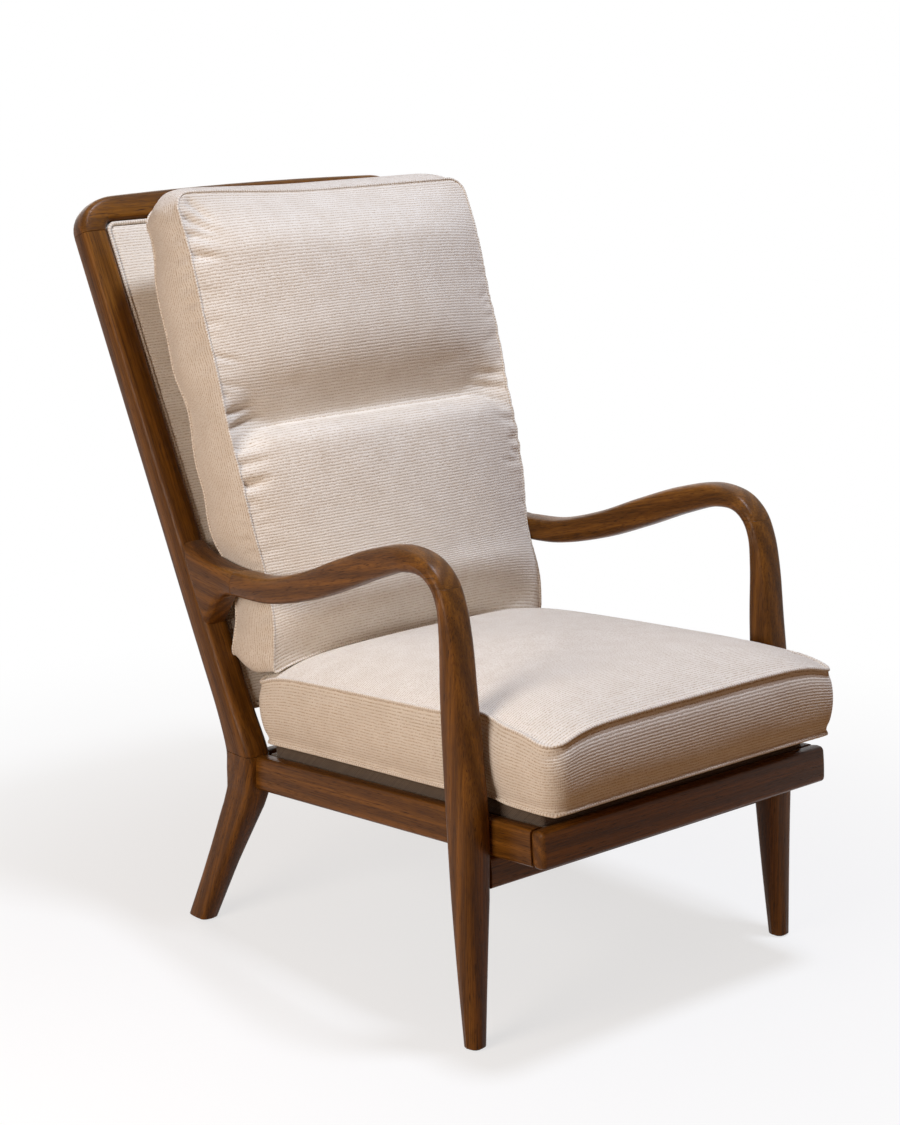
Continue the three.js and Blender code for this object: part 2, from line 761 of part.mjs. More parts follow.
sides.forEach(({ name, sign }) => {
  const side = railOuter() - railThick - seatGap;
  const front = frontRailThick + seatGap;
  const low = (railHeight - cornerBlockHeight) / 2;
  const high = low + cornerBlockHeight;
  const frontCorner = [
    [sign * side, front],
    [sign * side, front + cornerBlockReach],
    [sign * (side - cornerBlockReach), front],
  ];
  addMesh(seat, "corner_block_front_" + name, prism(frontCorner, low, high), innerWood);
  const rear = rearRailAlong - seatGap;
  const legFace = alongAt(rearLegFace, railHeight) - seatGap;
  const rearCorner = [
    [sign * side, rear - cornerBlockReach],
    [sign * side, legFace],
    [sign * (rearLegInner - seatGap), legFace],
    [sign * (rearLegInner - seatGap), rear],
    [sign * (side - cornerBlockReach), rear],
  ];
  addMesh(seat, "corner_block_rear_" + name, prism(rearCorner, low, high), innerWood);
});

// Seat deck
const deckHalf = railOuter() - deckInset;
const deckFront = deckInset;
const deckRear = alongAt(deckRearReach, railHeight);
const deckLow = railHeight + seatGap;
const deckTop = railHeight + deckThick;
const deckCeiling = deckTop - deckCoverTop;

function deckCover() {
  const middle = (deckFront + deckRear) / 2;
  const ring = (inset, up) =>
    roundedOutline((deckHalf - inset) * 2, deckRear - deckFront - inset * 2, deckCoverEdge, 2).map(
      ([x, y]) => new THREE.Vector3(x, middle + y, up),
    );
  const ease = deckCoverEdge / 2;
  const outer = skin([
    ring(0, deckLow),
    ring(0, deckTop - ease),
    ring(ease - ease * Math.SQRT1_2, deckTop - ease + ease * Math.SQRT1_2),
    ring(ease, deckTop),
  ]);
  const cavity = block(
    [-deckHalf + deckCoverWall, deckFront + deckCoverWall, deckLow - overrun],
    [deckHalf - deckCoverWall, deckRear - deckCoverWall, deckCeiling],
  );
  return cut(outer, cavity);
}
addMesh(seat, "deck_cover", deckCover(), cloth);

const barHalf = deckHalf - deckCoverWall - seatGap;
const barFront = deckFront + deckCoverWall + seatGap;
const barRear = deckRear - deckCoverWall - seatGap;
const barLow = deckLow;
const barHigh = deckCeiling - seatGap * 2 - webThick;
const frontBar = block([-barHalf, barFront, barLow], [barHalf, barFront + deckBarWide, barHigh]);
const backBar = block([-barHalf, barRear - deckBarWide, barLow], [barHalf, barRear, barHigh]);
addMesh(seat, "deck_bar_front", frontBar, innerWood);
addMesh(seat, "deck_bar_rear", backBar, innerWood);
sides.forEach(({ name, sign }) => {
  const inner = barHalf - deckBarWide;
  const low = [Math.min(sign * barHalf, sign * inner), barFront + deckBarWide + seatGap, barLow];
  const high = [Math.max(sign * barHalf, sign * inner), barRear - deckBarWide - seatGap, barHigh];
  addMesh(seat, "deck_bar_" + name, block(low, high), innerWood);
});

// The middle of one of count equal parts of a length, as a share of it
function partMiddle(i, count) {
  return (i + 1 / 2) / count;
}

const webSpan = barRear - barFront - deckBarWide * 2;
for (let i = 0; i < seatWebs; i += 1) {
  const middle = barFront + deckBarWide + webSpan * partMiddle(i, seatWebs);
  const low = [-barHalf, middle - webWide / 2, barHigh + seatGap];
  const high = [barHalf, middle + webWide / 2, barHigh + seatGap + webThick];
  addMesh(seat, "seat_web_" + (i + 1), block(low, high), webbing);
}

const dustHalf = railOuter() - railThick - seatGap;
const dustFront = frontRailThick + seatGap;
const dustRear = alongAt(rearLegFace, railHeight) - seatGap * 2;
const dustCover = block(
  [-dustHalf, dustFront, railHeight - dustThick],
  [dustHalf, dustRear, railHeight],
);
addMesh(seat, "dust_cover", dustCover, webbing);

// Upholstered back panel. Places are [x, back from the post's rear face, up the rake].
const panelTop = postLength + crestRise - crestHeight - panelEdgeGap;
const panelRear = -panelSet;
const frameRear = panelRear - panelCoverThick - seatGap;
const frameFront = frameRear - panelFrameThick;
const webFront = frameFront - seatGap - webThick;
const padRear = webFront - seatGap;

function innerFace(along) {
  return postOut(along) - postWidth / 2;
}

function panelOutline(inset, steps = 4) {
  const topAlong = panelTop - inset;
  const lowAlong = panelFoot + inset;
  const halfLow = innerFace(lowAlong) - panelEdgeGap - inset;
  const halfTop = innerFace(topAlong) - panelEdgeGap - inset;
  const corner = Math.max(panelCorner - inset, weltRadius);
  const points = [];
  const cornerAt = (x, z, first) => {
    for (let i = 0; i <= steps; i += 1) {
      const angle = first + ((i / steps) * Math.PI) / 2;
      points.push([x + corner * Math.cos(angle), z + corner * Math.sin(angle)]);
    }
  };
  const side = (from, to, count) => {
    for (let i = 1; i < count; i += 1) {
      points.push(from.map((value, k) => THREE.MathUtils.lerp(value, to[k], i / count)));
    }
  };
  cornerAt(halfTop - corner, topAlong - corner, 0);
  side([halfTop - corner, topAlong], [corner - halfTop, topAlong], 5);
  cornerAt(corner - halfTop, topAlong - corner, Math.PI / 2);
  side([-halfTop, topAlong - corner], [-halfLow, lowAlong + corner], 6);
  cornerAt(corner - halfLow, lowAlong + corner, Math.PI);
  side([corner - halfLow, lowAlong], [halfLow - corner, lowAlong], 5);
  cornerAt(halfLow - corner, lowAlong + corner, (Math.PI * 3) / 2);
  side([halfLow, lowAlong + corner], [halfTop, topAlong - corner], 6);
  return points;
}

function panelRing(inset, depth) {
  return panelOutline(inset).map(([x, z]) => new THREE.Vector3(x, depth, z));
}

function backPad() {
  const step = padRear - panelPadThick / 2;
  const face = padRear - panelPadThick;
  const crowned = (inset, share) => panelRing(inset, face - panelCrown * share);
  const rings = [
    panelRing(0, padRear),
    panelRing(0, step),
    panelRing(weltStep, step),
    panelRing(weltStep, face + weltRadius / 2),
  ];
  const crownShares = [
    [0.04, 0.2],
    [0.14, 0.7],
    [0.33, 1],
  ];
  crownShares.forEach(([insetShare, share]) => rings.push(crowned(insetShare * postOutLow, share)));
  return skin(rings);
}
addMesh(back, "back_pad", backPad(), cloth);

function backWelt() {
  const middle = weltStep - weltRadius - seatGap;
  const depth = padRear - panelPadThick / 2 - weltRadius - seatGap;
  const path = panelOutline(middle);
  const sidesOfCord = 6;
  const rings = path.map(([x, z], i) => {
    const before = path[(i + path.length - 1) % path.length];
    const after = path[(i + 1) % path.length];
    const run = new THREE.Vector3(after[0] - before[0], 0, after[1] - before[1]).normalize();
    const side = new THREE.Vector3(-run.z, 0, run.x);
    const ring = [];
    for (let k = 0; k < sidesOfCord; k += 1) {
      const angle = (k / sidesOfCord) * Math.PI * 2;
      const point = new THREE.Vector3(x, depth, z).addScaledVector(side, weltRadius * Math.cos(angle));
      point.y += weltRadius * Math.sin(angle);
      ring.push(point);
    }
    return ring;
  });
  return skin(rings, true);
}
addMesh(back, "back_welt", backWelt(), cloth);

const rearCover = skin([panelRing(0, panelRear - panelCoverThick), panelRing(0, panelRear)]);
addMesh(back, "back_rear_cover", rearCover, cloth);

// The panel's frame: two stiles screwed to the posts, with a bar between them at the top and the foot
const stileFoot = panelFoot + panelCorner / 2;
const stileTop = postLength - panelEdgeGap;
function stile(sign) {
  const ring = (along) => {
    const outer = sign * (innerFace(along) - seatGap);
    const inner = sign * (innerFace(along) - seatGap - panelBarWide);
    return [
      new THREE.Vector3(outer, frameFront, along),
      new THREE.Vector3(outer, frameRear, along),
      new THREE.Vector3(inner, frameRear, along),
      new THREE.Vector3(inner, frameFront, along),
    ];
  };
  return skin([ring(stileFoot), ring(stileTop)]);
}
function panelBar(low, high) {
  const ring = (along) => {
    const half = innerFace(along) - seatGap - panelBarWide - seatGap;
    return [
      new THREE.Vector3(-half, frameFront, along),
      new THREE.Vector3(half, frameFront, along),
      new THREE.Vector3(half, frameRear, along),
      new THREE.Vector3(-half, frameRear, along),
    ];
  };
  return skin([ring(low), ring(high)]);
}
sides.forEach(({ name, sign }) => addMesh(back, "panel_stile_" + name, stile(sign), innerWood));
addMesh(back, "panel_bar_low", panelBar(stileFoot, stileFoot + panelBarWide), innerWood);
addMesh(back, "panel_bar_top", panelBar(stileTop - panelBarWide, stileTop), innerWood);
for (let i = 0; i < backWebs; i += 1) {
  const span = stileTop - stileFoot - panelBarWide * 2;
  const along = stileFoot + panelBarWide + span * partMiddle(i, backWebs);
  const half = innerFace(along - webWide / 2) - seatGap - panelBarWide / 2;
  const low = [-half, webFront, along - webWide / 2];
  const high = [half, webFront + webThick, along + webWide / 2];
  addMesh(back, "back_web_" + (i + 1), block(low, high), webbing);
}

// Loose seat cushion: boxed, crowned on top, its sides drawn in between the corners
const seatCushionRear = alongAt(heelReach, railHeight) - seatCushionRearSet;
const cushionHalfWide = seatCushionWide / 2;
const cushionHalfLong = (seatCushionRear - seatCushionFront) / 2;
const cushionMiddle = (seatCushionRear + seatCushionFront) / 2;
const crownPower = 4; // how square the crown is
const seamPower = 6; // how near a corner its seam starts to dip

function cushionShares(x, along) {
  const frontToRear = (along - seatCushionFront) / (seatCushionRear - seatCushionFront);
  const half = THREE.MathUtils.lerp(seatCushionWide, seatCushionWideRear, frontToRear) / 2;
  const across = Math.abs(x) / half;
  const lengthwise = Math.abs(along - cushionMiddle) / cushionHalfLong;
  return [Math.min(1, across), Math.min(1, lengthwise)];
}

// How far the cushion's top stands over its corners
function cushionSwell(x, along) {
  const [across, lengthwise] = cushionShares(x, along);
  const lift = seatCushionLift * (1 - Math.pow(across * lengthwise, seamPower));
  const crown = (1 - Math.pow(across, crownPower)) * (1 - Math.pow(lengthwise, crownPower));
  return lift + seatCushionCrown * crown;
}

function seatCushion() {
  const base = deckTop + seatGap;
  // Each level's inset, as a share of the half width, its height and how much of the swell it takes
  const levelShares = [
    [0.5, 0, 0],
    [0.07, 0, 0],
    [0.022, 0.03, 0],
    [0.01, 0.06, 0],
    [0, 0.3, 0.3],
    [0, 0.7, 0.7],
    [0.01, 0.94, 1],
    [0.022, 0.97, 1],
    [0.07, 1, 1],
    [0.18, 1, 1],
    [0.36, 1, 1],
    [0.58, 1, 1],
    [0.8, 1, 1],
  ];
  const leastCorner = seatCushionCorner / 2;
  const taper = (seatCushionWide - seatCushionWideRear) / seatCushionWide;
  const rings = levelShares.map(([insetShare, heightShare, swellShare]) => {
    const inset = insetShare * cushionHalfWide;
    const corner = Math.max(seatCushionCorner - inset, leastCorner);
    const wide = (cushionHalfWide - inset) * 2;
    const long = (cushionHalfLong - inset) * 2;
    const outline = roundedOutline(wide, long, corner, 3, 8);
    return outline.map(([x, y]) => {
      const drawIn = (value, half) => 1 - (seatCushionPull * (1 - Math.pow(value, crownPower))) / half;
      const narrowed = 1 - (taper * (y + cushionHalfLong)) / (cushionHalfLong * 2);
      const px = x * narrowed * drawIn(Math.abs(y) / cushionHalfLong, cushionHalfWide);
      const along = cushionMiddle + y * drawIn(Math.abs(x) / cushionHalfWide, cushionHalfLong);
      const up = base + heightShare * seatCushionThick + swellShare * cushionSwell(px, along);
      return new THREE.Vector3(px, along, up);
    });
  });
  return skin(rings);
}
addMesh(seat, "seat_cushion", seatCushion(), cloth);

// Height over the floor of the seat cushion's top
function seatTopAt(x, y) {
  let up = deckTop + seatGap + seatCushionThick;
  let along = alongAt(y, up);
  for (let i = 0; i < 2; i += 1) {
    up = deckTop + seatGap + seatCushionThick + cushionSwell(x, along);
    along = alongAt(y, up);
  }
  return railUnderside - along * Math.sin(seatPitch) + up * Math.cos(seatPitch);
}

// Loose back cushion: boxed, with a sewn channel across it that parts a head pillow from the back
function backCushion() {
  // The front seam's rows: how far each has run back and risen, as shares of the whole
  const seamShares = [
    [0.0, 0.0],
    [0.01, 0.089],
    [0.108, 0.187],
    [0.199, 0.293],
    [0.3, 0.407],
    [0.438, 0.528],
    [0.556, 0.65],
    [0.673, 0.748],
    [0.815, 0.878],
    [1.0, 1.0],
  ];
  const footY = heelReach + backCushionSet - backCushionThick / Math.cos(backRake);
  const footZ = seatTopAt(backCushionWideLow / 2, footY) + backCushionFootLift;
  const rise = backCushionHeight - footZ;
  const points = seamShares.map(
    ([y, z]) => new THREE.Vector3(0, footY + y * rise * backCushionSlope, footZ + z * rise),
  );
  const channelHeight = footZ + channelShare * rise;
  const seam = new THREE.CatmullRomCurve3(points, false, "centripetal");
  const steps = 22;
  const crownLowShare = 0.14; // up to here the crown grows, and past crownHighShare it fades
  const crownHighShare = 0.88;
  const settleShare = 0.2; // up to here the cushion bends over the crown it rests on
  const armShare = 0.8; // the arm's height at the cushion, of the knee's
  const armSpreadShare = 0.12; // how far its press reaches up and down
  const frontPressShare = 0.7; // the press at the cushion's face, of the press at its back
  const bulgePower = 2.6;
  const facePower = 4;
  const rings = [];
  const bulge = (x, half) => Math.max(0, 1 - Math.pow(Math.abs(x) / half, bulgePower));
  const hill = (value, middle, reach) => Math.exp(-Math.pow((value - middle) / reach, 2));
  const addRing = (share, inset, lift, resting) => {
    const place = seam.getPoint(share);
    const run = seam.getTangent(share);
    const depthWay = new THREE.Vector3(0, run.z, -run.y);
    const press = backCushionPinch * hill(place.z, armShare * armHeight, armSpreadShare * armHeight);
    const half = THREE.MathUtils.lerp(backCushionWideLow, backCushionWideTop, share) / 2 - inset;
    const deep = backCushionThick - inset * 2;
    const middle = place.clone().addScaledVector(depthWay, backCushionThick / 2).addScaledVector(run, lift);
    const valley = hill(place.z, channelHeight, channelReach);
    const grown = THREE.MathUtils.smoothstep(share, 0, crownLowShare);
    const ends = grown * (1 - THREE.MathUtils.smoothstep(share, crownHighShare, 1));
    const settled = 1 - THREE.MathUtils.smoothstep(share, 0, settleShare);
    const corner = Math.max(backCushionCorner - inset, backCushionSeamDrop);
    const ring = roundedOutline(half * 2, deep, corner, 2, 8).map(([x, d]) => {
      const depthShare = Math.abs(d * 2) / deep;
      const frontCrown = backCushionCrown * ends - channelDepth * valley;
      const crown = d < 0 ? -frontCrown : backCushionRearCrown * ends;
      const shifted = d + crown * bulge(x, half) * Math.pow(depthShare, facePower);
      const point = middle.clone().addScaledVector(depthWay, shifted);
      const pressed = press * THREE.MathUtils.lerp(frontPressShare, 1, (d + deep / 2) / deep);
      point.x = x * (1 - pressed / half);
      if (resting) point.z = seatTopAt(x, point.y) + restGap;
      else point.z += settled * (seatTopAt(x, point.y) - seatTopAt(half, point.y));
      return point;
    });
    rings.push(ring);
  };
  addRing(0, backCushionFace, 0, true);
  addRing(0, backCushionCorner, 0, true);
  addRing(0, backCushionSeamDrop, -backCushionSeamDrop, false);
  for (let i = 0; i <= steps; i += 1) addRing(i / steps, 0, 0, false);
  addRing(1, backCushionSeamDrop, backCushionSeamDrop, false);
  addRing(1, backCushionFace, backCushionPuff, false);
  return skin(rings);
}
addMesh(chair, "back_cushion", backCushion(), cloth);

// A glide under each foot
sides.forEach(({ name, sign }) => {
  const disc = (x, y) => pin(new THREE.Vector3(x, y, 0), new THREE.Vector3(x, y, glideThick), glideRadius);
  const frontMiddle = ((armLineShares[0][0] + armLineShares[0][2]) / 2) * armReach;
  addMesh(chair, "front_glide_" + name, disc(sign * frontFootOut, frontMiddle), plastic);
  addMesh(chair, "rear_glide_" + name, disc(sign * rearFootOut, rearFootReach), plastic);
});

// The origin lies under the middle of the whole chair, on the floor.
chair.updateMatrixWorld(true);
const bounds = new THREE.Box3().setFromObject(chair, true);
const middle = bounds.getCenter(new THREE.Vector3());
chair.position.set(-middle.x, -middle.y, -bounds.min.z);

export default chair;
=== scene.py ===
# %% [markdown]
# # A fireside chair with two loose cushions
# The imported model is a fixed frame in metres, with the floor at z = 0 and the sitter facing -Y.
# Every cell below dresses it: the walnut members are made again with soft edges and real grain, and the plain
# cushion solids give way to sewn covers with seams, a channel and creases.
# The frame is loaded first. Nothing here may change the chair's size.

# %% Load the frame
import math

import bmesh
import bpy
import numpy as np
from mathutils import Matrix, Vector


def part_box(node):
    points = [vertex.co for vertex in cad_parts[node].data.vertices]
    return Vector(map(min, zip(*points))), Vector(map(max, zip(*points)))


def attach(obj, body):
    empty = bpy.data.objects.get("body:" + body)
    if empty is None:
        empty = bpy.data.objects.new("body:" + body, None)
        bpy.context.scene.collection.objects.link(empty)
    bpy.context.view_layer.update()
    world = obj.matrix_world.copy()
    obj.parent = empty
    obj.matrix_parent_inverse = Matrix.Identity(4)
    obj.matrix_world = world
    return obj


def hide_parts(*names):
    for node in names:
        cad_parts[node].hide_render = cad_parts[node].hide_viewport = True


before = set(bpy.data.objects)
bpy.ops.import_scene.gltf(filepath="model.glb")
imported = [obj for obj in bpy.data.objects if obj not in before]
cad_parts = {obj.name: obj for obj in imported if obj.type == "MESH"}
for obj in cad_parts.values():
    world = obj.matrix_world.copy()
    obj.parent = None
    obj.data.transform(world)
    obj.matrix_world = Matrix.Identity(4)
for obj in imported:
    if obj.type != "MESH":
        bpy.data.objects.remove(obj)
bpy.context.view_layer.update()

# %% [markdown]
# ## Three frames of reference
# The maker's drawing counts back from the front feet, so the arm's rear joint stands 527 mm back. The
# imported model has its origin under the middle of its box. The difference between the two is read off the
# arm's own node. The seat slopes down to the rear by 5.06 degrees, and the back leans by 0.45 of run for
# each unit of rise. Small functions turn places in the seat, in the back and in the drawing into places in
# the room. The chair's main sizes have names here, in millimetres, because several pieces share each of
# them.

# %% Frames of reference
MM = 0.001
REACH, ARM_HEIGHT = 527, 645  # the front feet back to the arm's rear joint, and the floor to the knee's top
RAIL_FACE, RAIL_FOOT = -99, 266  # the front rail's face from the front feet, and its underside from the floor
POST_HEEL, POST_FOOT = 559.4, 262  # the posts' rear line from the front feet, and their joint from the floor
MEMBER = 42.0  # how wide the arms, legs and posts are
GAP = 0.3  # between two pieces that touch
GLIDE_TOP = 2.8  # floor to the feet's underside, over the glides
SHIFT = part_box("arm_left")[1].y - REACH * MM  # the drawing's y plus this is the model's y
PITCH = math.radians(5.06)
RAKE = math.atan(0.45)


def from_seat(points):
    """Seat places [x, back along the seat, up from the rails' underside] in mm, turned about X by the pitch
    and moved to the front rail's lower edge, in metres."""
    x, back, up = np.moveaxis(np.asarray(points, float), -1, 0)
    y = RAIL_FACE + back * math.cos(PITCH) + up * math.sin(PITCH)
    z = RAIL_FOOT - back * math.sin(PITCH) + up * math.cos(PITCH)
    return np.stack([x, y, z], -1) * MM + np.array([0, SHIFT, 0])


def from_back(points):
    """Back places [x, back from the posts' rear face, up the rake] in mm, turned about X by the rake and
    moved to the posts' foot, in metres."""
    x, back, up = np.moveaxis(np.asarray(points, float), -1, 0)
    y = POST_HEEL + back * math.cos(RAKE) + up * math.sin(RAKE)
    z = POST_FOOT - back * math.sin(RAKE) + up * math.cos(RAKE)
    return np.stack([x, y, z], -1) * MM + np.array([0, SHIFT, 0])


def from_drawing(points):
    """Upright places [x, back from the front feet, up from the floor] in mm, in metres in the model's
    frame."""
    return np.asarray(points, float) * MM + np.array([0, SHIFT, 0])


print("drawing to model, y:", round(SHIFT, 4))

# %% [markdown]
# ## The camera
# A camera's place decides every proportion in the picture, so it comes before any shape. This one stands
# where the photograph was taken: 41 degrees round to the sitter's right, 14 degrees above the seat, 3.36 m
# away, with a lens of about 81 mm. It could be given as three rotation angles. A quaternion that points the
# camera at a target is easier to read, because the target is a place on the chair.

# %% Camera
camera_data = bpy.data.cameras.new("camera")
camera = bpy.data.objects.new("camera", camera_data)
bpy.context.scene.collection.objects.link(camera)
turn, tilt, distance = math.radians(40.71), math.radians(14.226), 3.3578
aim = Vector((math.sin(turn) * math.cos(tilt), math.cos(turn) * math.cos(tilt), -math.sin(tilt)))
target = Vector((-0.1644, 0.2 + SHIFT, 0.5918))
camera.location = target - aim * distance
camera.rotation_mode = "QUATERNION"
camera.rotation_quaternion = aim.to_track_quat("-Z", "Y")
camera_data.sensor_width = 36
camera_data.lens = 80.58
bpy.context.scene.camera = camera
print("camera at", [round(v, 3) for v in camera.location])

# %% [markdown]
# ## Colours and nodes
# A material is a small tree of nodes. Two helpers keep the cells short. One turns the familiar web colour
# into the linear numbers that Blender mixes light with. The other adds a node, sets its settings and plugs
# its inputs, so that each line of a material reads as one step.

# %% Helpers for materials
def linear(hex_colour):
    """Each sRGB channel c becomes c / 12.92 up to 0.04045, and ((c + 0.055) / 1.055) to the power 2.4 past
    it."""
    c = np.array([int(hex_colour[i : i + 2], 16) for i in (1, 3, 5)]) / 255
    low, high = c / 12.92, ((c + 0.055) / 1.055) ** 2.4
    return (*np.where(c <= 0.04045, low, high).tolist(), 1.0)


def new_material(name, base, roughness, metallic=0.0):
    """A material with one Principled shader, and the shader."""
    material = bpy.data.materials.new(name)
    material.use_nodes = True
    shader = material.node_tree.nodes["Principled BSDF"]
    shader.inputs["Base Color"].default_value = linear(base)
    shader.inputs["Roughness"].default_value = roughness
    shader.inputs["Metallic"].default_value = metallic
    return material, shader


def add(material, kind, settings=None, **plugs):
    """Adds a node, sets its settings and fills its inputs: a plug's name is the input's name with _ for a
    space, or i and its number, and its value is a number, a colour or another node's output."""
    node = material.node_tree.nodes.new(kind)
    for key, value in (settings or {}).items():
        setattr(node, key, value)
    for key, value in plugs.items():
        socket = node.inputs[int(key[1:]) if key[1:].isdigit() else key.replace("_", " ")]
        if isinstance(value, bpy.types.NodeSocket):
            material.node_tree.links.new(value, socket)
        else:
            socket.default_value = value
    return node


def plug(material, output, socket):
    """Links an output to an input of the same material."""
    material.node_tree.links.new(output, socket)


MIX_COLOUR = {"data_type": "RGBA"}
MULTIPLY = {"operation": "MULTIPLY"}
MULTIPLY_ADD = {"operation": "MULTIPLY_ADD"}
MAXIMUM = {"operation": "MAXIMUM"}
WAVE = 0.31416  # at a scale of 1 a wave texture repeats after this many metres

# %% [markdown]
# ## Walnut
# The show wood is a stained open-pored hardwood under satin lacquer. The eye reads three things in it:
# broad bands where the board was sawn through the year rings, about 12 mm apart; fine fibres along the
# board; and dark open pores, dashes under half a millimetre wide and 8 mm long. Such pores are finer than a
# pixel here, so they are drawn about 1 mm wide and 20 mm long.
# Each piece carries its own attribute named grain: metres across, through and along its board, with an
# offset of its own, so that no two pieces show the same figure. Noise that is squeezed along the third axis
# becomes grain.

# %% Walnut
def walnut_material():
    wood, shader = new_material("walnut_satin_lacquer", "#6b4628", 0.36)
    grain = add(wood, "ShaderNodeAttribute", {"attribute_name": "grain"}).outputs["Vector"]
    # bands 12 mm apart that wander over 450 mm
    slow = add(wood, "ShaderNodeMapping", Vector=grain, Scale=(18, 18, 2.2))
    drift = add(wood, "ShaderNodeTexNoise", Vector=slow.outputs[0], Scale=1.0, Detail=2.0)
    board = add(wood, "ShaderNodeVectorMath", MULTIPLY_ADD, i0=drift.outputs["Color"], i1=(0.009, 0.009, 0.0),
                i2=grain)
    flat = add(wood, "ShaderNodeMapping", Vector=board.outputs[0], Scale=(1.0, 1.0, 0.03))
    rings = add(wood, "ShaderNodeTexWave", {"wave_type": "BANDS", "bands_direction": "DIAGONAL"},
                Vector=flat.outputs[0], Scale=WAVE / 0.012, Distortion=1.2, Detail=2.0)
    # streaks 3 mm wide and 250 mm long, fibres 1 by 40 mm, pores under 1 mm wide and 20 mm long
    wide = add(wood, "ShaderNodeMapping", Vector=grain, Scale=(320, 320, 4))
    streaks = add(wood, "ShaderNodeTexNoise", Vector=wide.outputs[0], Scale=1.0, Detail=3.0)
    fine = add(wood, "ShaderNodeMapping", Vector=grain, Scale=(900, 900, 24))
    fibres = add(wood, "ShaderNodeTexNoise", Vector=fine.outputs[0], Scale=1.0, Detail=2.0)
    short = add(wood, "ShaderNodeMapping", Vector=grain, Scale=(1250, 1250, 48))
    pores = add(wood, "ShaderNodeTexNoise", Vector=short.outputs[0], Scale=1.0, Detail=1.0)
    ramp = add(wood, "ShaderNodeValToRGB", Fac=rings.outputs["Fac"])
    ramp.color_ramp.elements[0].color = linear("#502f0c")
    ramp.color_ramp.elements[1].color = linear("#794d1b")
    ramp.color_ramp.elements[0].position, ramp.color_ramp.elements[1].position = 0.1, 0.9
    streak = add(wood, "ShaderNodeMapRange", Value=streaks.outputs["Fac"], From_Min=0.38, From_Max=0.75)
    tone = add(wood, "ShaderNodeMix", MIX_COLOUR, i0=streak.outputs[0], i6=ramp.outputs["Color"],
               i7=linear("#3d2307"))
    fibre = add(wood, "ShaderNodeMapRange", Value=fibres.outputs["Fac"], From_Min=0.3, From_Max=0.7,
                To_Min=0.0, To_Max=0.35)
    lit = add(wood, "ShaderNodeMix", MIX_COLOUR, i0=fibre.outputs[0], i6=tone.outputs[2],
              i7=linear("#925e21"))
    pore = add(wood, "ShaderNodeMapRange", Value=pores.outputs["Fac"], From_Min=0.57, From_Max=0.74)
    dark = add(wood, "ShaderNodeMix", MIX_COLOUR, i0=pore.outputs[0], i6=lit.outputs[2], i7=linear("#331d0a"))
    plug(wood, dark.outputs[2], shader.inputs["Base Color"])
    rough = add(wood, "ShaderNodeMapRange", Value=pore.outputs[0], To_Min=0.31, To_Max=0.6)
    plug(wood, rough.outputs[0], shader.inputs["Roughness"])
    height = add(wood, "ShaderNodeMath", MULTIPLY_ADD, i0=pore.outputs[0], i1=-1.0, i2=fibre.outputs[0])
    bump = add(wood, "ShaderNodeBump", Strength=0.5, Distance=0.0003, Height=height.outputs[0])
    plug(wood, bump.outputs[0], shader.inputs["Normal"])
    shader.inputs["Specular IOR Level"].default_value = 0.13
    return wood


walnut = walnut_material()
print(walnut.name, len(walnut.node_tree.nodes), "nodes")

# %% [markdown]
# ## A mesh from rings
# Most of the frame is a section carried along a line. Numpy works out all the rings at once as one array of
# rings, points and coordinates, and one function joins them with four-sided faces and closes the ends.
# Spinning or extruding in the editor would give the same skin, but not a section that changes all the way.

# %% Rings to a mesh
def new_piece(name, points, faces, material):
    """A mesh object at the origin from an array of points and a list of faces, its normals made to point
    out."""
    mesh = bpy.data.meshes.new(name)
    mesh.from_pydata(np.asarray(points).reshape(-1, 3).tolist(), [], faces)
    shape = bmesh.new()
    shape.from_mesh(mesh)
    bmesh.ops.recalc_face_normals(shape, faces=shape.faces)
    shape.to_mesh(mesh)
    shape.free()
    piece = bpy.data.objects.new(name, mesh)
    bpy.context.scene.collection.objects.link(piece)
    mesh.materials.append(material)
    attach(piece, "root")
    return piece


def ring_faces(rings, around, closed=False):
    """Point i of ring r is number r * around + i. A face joins i and i + 1, counted round, on rings r and r
    + 1."""
    r = np.arange(rings if closed else rings - 1)[:, None]
    i = np.arange(around)[None, :]
    here, there = r * around, ((r + 1) % rings) * around
    beside = (i + 1) % around
    quads = np.stack([here + i, here + beside, there + beside, there + i], -1).reshape(-1, 4).tolist()
    if not closed:
        quads += [list(range(around))[::-1], list(range((rings - 1) * around, rings * around))]
    return quads


def smooth(piece, angle=40):
    """Smooth shading, with a crease where two faces meet at more than the angle."""
    piece.data.shade_smooth()
    piece.data.set_sharp_from_angle(angle=math.radians(angle))


# %% [markdown]
# ## Soft-edged members
# An arm, a leg and a post are each given by two edge lines in the side view that face each other, with a
# width in X at each pair. A centripetal Catmull-Rom curve runs through the drawn points without
# overshooting, which keeps the knee of the arm full. The section between the two lines is a rectangle with
# rounded corners, and its faces are domed by under a millimetre, as a spokeshave and sandpaper leave them,
# so that they catch light softly.

